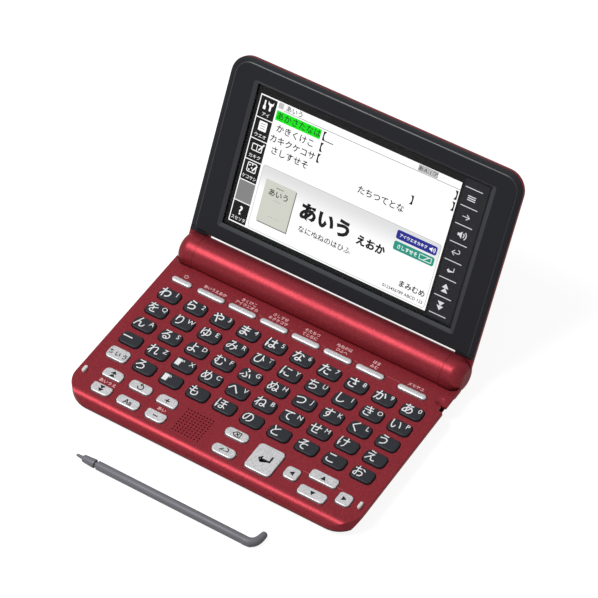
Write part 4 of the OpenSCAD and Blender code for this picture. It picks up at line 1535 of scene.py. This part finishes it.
    def strip(self) -> None:
        """Draws the touch strip: eight lines and seven signs."""
        marks = Stencil()
        x0, x1 = self.strip_x
        mid = (x0 + x1) / 2
        for k in range(8):
            v = self.strip_top - k * self.strip_pitch
            marks.line(x0, v, x1, v, 0.36)
        middles = [self.strip_top - (k + 0.5) * self.strip_pitch for k in range(7)]
        for k, sign, size, squeeze in ((0, "☰", 4.0, 1.3), (1, "→", 4.2, 1.2)):
            marks.text(sign, mid, middles[k], size, squeeze)
        self._speaker(marks, mid - 0.6, middles[2], 1.5)
        for k, sign, size in ((3, "↩", 4.2), (4, "↵", 4.4)):
            marks.text(sign, mid, middles[k], size)
        for k, turn in ((5, 0.0), (6, 180.0)):
            for dv in (1.0, -1.0):
                marks.arrow(mid, middles[k] + dv, 3.3, 2.1, turn)
        # The strip's signs glow too: painted light.
        marks.build("strip_signs", LID, self.sign_n, self.sheet_t, Pixel.STRIP_LINE.value, "lid")

    def build(self) -> None:
        """Builds the picture's layers from the panel up, then the mask and the strip."""
        x0, x1, y0, y1 = self.panel
        low, high = self.panel_n
        verts, faces = loft([ring(x0, x1, y0, y1, (0.3,) * 4, n, 3) for n in (low, high)])
        points = [LID.place(*v) for v in verts]
        make_piece("display_cell", points, faces, PANEL, "lid", ["display_panel"])
        a, b, c, d = self.picture
        self.ink(Pixel.WHITE, 1).box(a - 0.6, c - 0.6, b + 0.6, d + 0.6)
        self.icon_column()
        self.search_rows()
        self.lower_panel()
        for colour, layer in sorted(self.inks, key=lambda ink: (ink[1], ink[0].name)):
            name = f"picture_{layer}_{colour.name.lower()}"
            z = high + (layer - 1) * self.step
            self.ink(colour, layer).build(name, LID, z, self.step / 2, colour.value, "lid")
        self.mask()
        self.strip()


# Stylus


@dataclass
class Stylus:
    """Stylus lying in front of the base: nib and grip, straight shaft, and a curved hook.

    Places along it are millimetres from its left end, where the nib is, and places across it
    are millimetres from its axis towards the rear.
    """

    sides: int = 28
    grip: tuple[Flat, ...] = (
        (0.0, 0.3),
        (0.15, 0.5),
        (0.4, 0.62),
        (3.4, 0.84),
        (3.5, 1.3),
        (3.75, 1.62),
        (4.1, 1.72),
        (8.2, 1.98),
        (8.4, 2.02),
        (9.5, 2.04),
        (9.75, 1.98),
        (9.85, 1.8),
        (9.9, 1.25),
        (11.0, 1.25),
    )
    shaft: tuple[Flat, ...] = (
        (11.0, 1.5),
        (11.02, 1.85),
        (11.1, 2.0),
        (11.35, 2.08),
        (60.0, 2.08),
        (88.4, 2.05),
        (89.6, 1.85),
        (90.2, 1.4),
        (90.4, 0.6),
    )
    hook: tuple[Flat, ...] = ((86.3, -0.05), (90.4, -0.3), (91.5, 2.4), (91.7, 6.3))
    hook_r: tuple[float, ...] = (2.1, 2.1, 1.95, 1.6)
    hook_steps: int = 14
    cap_steps: int = 5
    cap_turn: float = 17.5
    axis_z: float = 2.1

    def _skin(self, stations: Sequence[Four]) -> Skin:
        """Skin of a round bar that lies flat.

        Args:
            stations: Along, across, radius and heading in radians of each ring.

        Returns:
            Points and faces.
        """
        low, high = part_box("stylus_tip")
        x0, y0, z0 = low.x / MM, (low.y + high.y) / 2 / MM, self.axis_z
        rings = []
        for along, across, r, heading in stations:
            loop = []
            for k in range(self.sides):
                a = 2 * math.pi * k / self.sides
                side = r * math.cos(a)
                x = x0 + along - side * math.sin(heading)
                loop.append((x, y0 + across + side * math.cos(heading), z0 + r * math.sin(a)))
            rings.append(loop)
        points, faces = loft(rings)
        return [tuple(c * MM for c in p) for p in points], faces

    def _bar(self, profile: Sequence[Flat]) -> Skin:
        """Returns the skin of a straight stretch, from places along it and radii."""
        return self._skin([(along, 0.0, r, 0.0) for along, r in profile])

    def _hook(self) -> Skin:
        """Skin of the hook, a tapering bar along a smooth curve, with round ends.

        Returns:
            Points and faces.
        """
        stations = []
        for k in range(self.hook_steps + 1):
            t = k / self.hook_steps
            u = 1 - t
            weights = (u**3, 3 * u * u * t, 3 * u * t * t, t**3)
            slopes = (-3 * u * u, 3 * u * u - 6 * u * t, 6 * u * t - 3 * t * t, 3 * t * t)
            along, across = (sum(w * p[i] for w, p in zip(weights, self.hook)) for i in (0, 1))
            dx, dy = (sum(w * p[i] for w, p in zip(slopes, self.hook)) for i in (0, 1))
            r = sum(w * v for w, v in zip(weights, self.hook_r))
            stations.append((along, across, r, math.atan2(dy, dx)))
        first, last = stations[0], stations[-1]
        start, end = [], []
        for k in range(1, self.cap_steps + 1):
            a = math.radians(self.cap_turn * k)
            for out, (along, across, r, heading), way in ((start, first, -1), (end, last, 1)):
                reach = way * r * math.sin(a)
                x, y = along + reach * math.cos(heading), across + reach * math.sin(heading)
                out.append((x, y, r * math.cos(a), heading))
        return self._skin(list(reversed(start)) + stations + end)

    def build(self) -> None:
        """Builds the grip with its nib, and the shaft with its hook."""
        pieces = (
            ("stylus_grip", "stylus_tip", self._bar(self.grip), 30.0),
            ("stylus_bar", "stylus_shaft", merge([self._bar(self.shaft), self._hook()]), 40.0),
        )
        for name, node, (verts, faces), sharp in pieces:
            make_piece(name, verts, faces, SATIN_GREY, "stylus", [node], sharp)


# CAD nodes that keep their shape


@dataclass
class Carried:
    """Finishes of the CAD nodes whose shape is right."""

    finishes: dict[str, Finish] = field(
        default_factory=lambda: {
            "base_top_cover": RED,
            # The bottom and battery covers wear the darker red, which is painted shade.
            "base_bottom_cover": RED_SHADED_UNDER,
            "barrel_cover": RED,
            "battery_cover": RED_SHADED_UNDER,
            "lid_back_cover": RED,
            "keypad_membrane": MEMBRANE,
            "main_board": BOARD_GREEN,
            "board_chips": CHIP,
            "speaker": BLACK_PLASTIC,
            "battery_cells": CELL,
            "battery_contacts": STEEL,
            "case_screws": STEEL,
            "stylus_silo": BLACK_PLASTIC,
            "earphone_jack": BLACK_PLASTIC,
            "usb_port": STEEL,
            "card_slot": STEEL,
            "hinge_housings": ALUMINIUM,
            "touch_glass": GLASS,
            "display_panel": PANEL,
            "display_frame": ALUMINIUM,
            "lid_board": BOARD_GREEN,
            "hinge_shafts": STEEL,
            "display_cable": CABLE,
            "stylus_shaft": SATIN_GREY,
            "stylus_tip": SATIN_GREY,
        }
    )

    def dress(self) -> None:
        """Gives every shown CAD node its finish."""
        for name, obj in frame["nodes"].items():
            finish = self.finishes.get(name, SLATE)
            obj.data.materials.clear()
            obj.data.materials.append(finish.material())
            if not obj.hide_render:
                LOG.info("%s keeps its CAD shape, in %s", name, finish.name)


# Studio


@dataclass(frozen=True)
class Studio:
    """Camera of the photograph, plain floor, even sky and one soft lamp.

    Sizes are metres, except the camera's lens and sensor, which are millimetres.
    """

    eye: Point = (0.507848, -0.723785, 1.079128)
    right: Point = (0.84035, 0.54147, -0.02508)
    down: Point = (0.39683, -0.64608, -0.65200)
    ahead: Point = (-0.36924, 0.53795, -0.75781)
    lens: float = 192.04
    sensor: float = 36.0
    floor_half: float = 6.0
    floor_drop: float = 0.2 * MM
    floor_grey: float = 0.3
    floor_lift: float = 0.9
    sky: float = 0.22
    lamp_place: Point = (-0.50, -0.45, 1.13)
    lamp_aim: Point = (0.0, 0.0, 0.02)
    lamp_size: float = 0.55
    lamp_watts: float = 14.0

    def camera(self) -> None:
        """Creates the camera and makes it the scene's own."""
        data = bpy.data.cameras.new("camera")
        data.lens, data.sensor_width, data.sensor_fit = self.lens, self.sensor, "HORIZONTAL"
        data.clip_start, data.clip_end = 0.05, 20.0
        obj = bpy.data.objects.new("camera", data)
        axes = Matrix((self.right, [-c for c in self.down], [-c for c in self.ahead])).transposed()
        obj.matrix_world = Matrix.Translation(self.eye) @ axes.to_4x4()
        bpy.context.scene.collection.objects.link(obj)
        bpy.context.scene.camera = obj

    @staticmethod
    def _seen(tree: bpy.types.NodeTree) -> bpy.types.NodeSocket:
        """Marks the rays that see the studio directly, in a mirror or through glass.

        Args:
            tree: The node tree of a material or a world.

        Returns:
            A socket that is 1 for camera, glossy and transmission rays, and 0 for others.
        """
        path = tree.nodes.new("ShaderNodeLightPath")
        first, second = maths(tree, "ADD"), maths(tree, "ADD")
        second.use_clamp = True
        join(
            tree,
            (path.outputs["Is Camera Ray"], first.inputs[0]),
            (path.outputs["Is Glossy Ray"], first.inputs[1]),
            (first.outputs[0], second.inputs[0]),
            (path.outputs["Is Transmission Ray"], second.inputs[1]),
        )
        return second.outputs[0]

    def floor(self) -> None:
        """Lays the pale floor, which shows white and keeps the soft shadow."""
        mesh = bpy.data.meshes.new("floor")
        s, z, grey = self.floor_half, -self.floor_drop, self.floor_grey
        mesh.from_pydata([(-s, -s, z), (s, -s, z), (s, s, z), (-s, s, z)], [], [(0, 1, 2, 3)])
        mat = bpy.data.materials.new("pale_floor")
        mat.use_nodes = True
        tree = mat.node_tree
        shader = tree.nodes["Principled BSDF"]
        shader_values = {
            "Base Color": (grey, grey, grey, 1.0),
            "Roughness": 0.9,
            "Specular IOR Level": 0.0,
            "Emission Color": (1.0, 1.0, 1.0, 1.0),
        }
        set_values(shader, shader_values)
        lift = maths(tree, "MULTIPLY", self.floor_lift)
        join(
            tree,
            (self._seen(tree), lift.inputs[0]),
            (lift.outputs[0], shader.inputs["Emission Strength"]),
        )
        mesh.materials.append(mat)
        obj = bpy.data.objects.new("floor", mesh)
        bpy.context.scene.collection.objects.link(obj)

    def world(self) -> None:
        """Sets an even sky, which lights the object softly and shows as white."""
        world = bpy.data.worlds.new("studio")
        world.use_nodes = True
        tree = world.node_tree
        back = tree.nodes["Background"]
        set_values(back, {"Color": (1.0, 1.0, 1.0, 1.0)})
        span = tree.nodes.new("ShaderNodeMapRange")
        set_values(span, {"To Min": self.sky, "To Max": 1.0})
        join(
            tree,
            (self._seen(tree), span.inputs["Value"]),
            (span.outputs["Result"], back.inputs["Strength"]),
        )
        bpy.context.scene.world = world

    def lamp(self) -> None:
        """Hangs the soft square lamp at the front left."""
        data = bpy.data.lights.new("key_softbox", "AREA")
        data.shape, data.size, data.energy = "SQUARE", self.lamp_size, self.lamp_watts
        obj = bpy.data.objects.new("key_softbox", data)
        obj.location = self.lamp_place
        ray = Vector(self.lamp_aim) - Vector(self.lamp_place)
        obj.rotation_euler = ray.to_track_quat("-Z", "Y").to_euler()
        bpy.context.scene.collection.objects.link(obj)

    def build(self) -> None:
        """Sets up the camera, floor, sky and lamp."""
        bpy.context.scene.view_settings.view_transform = "Standard"
        self.camera()
        self.floor()
        self.world()
        self.lamp()


def main() -> None:
    """Builds the object's pieces in order, then the studio."""
    logging.basicConfig(level=logging.INFO, format="%(name)s: %(message)s")
    Keyboard().build()
    Deck().build()
    Bezel().build()
    Screen().build()
    Stencil.put_away()
    Stylus().build()
    Carried().dress()
    Studio().build()


if __name__ == "__main__":
    main()
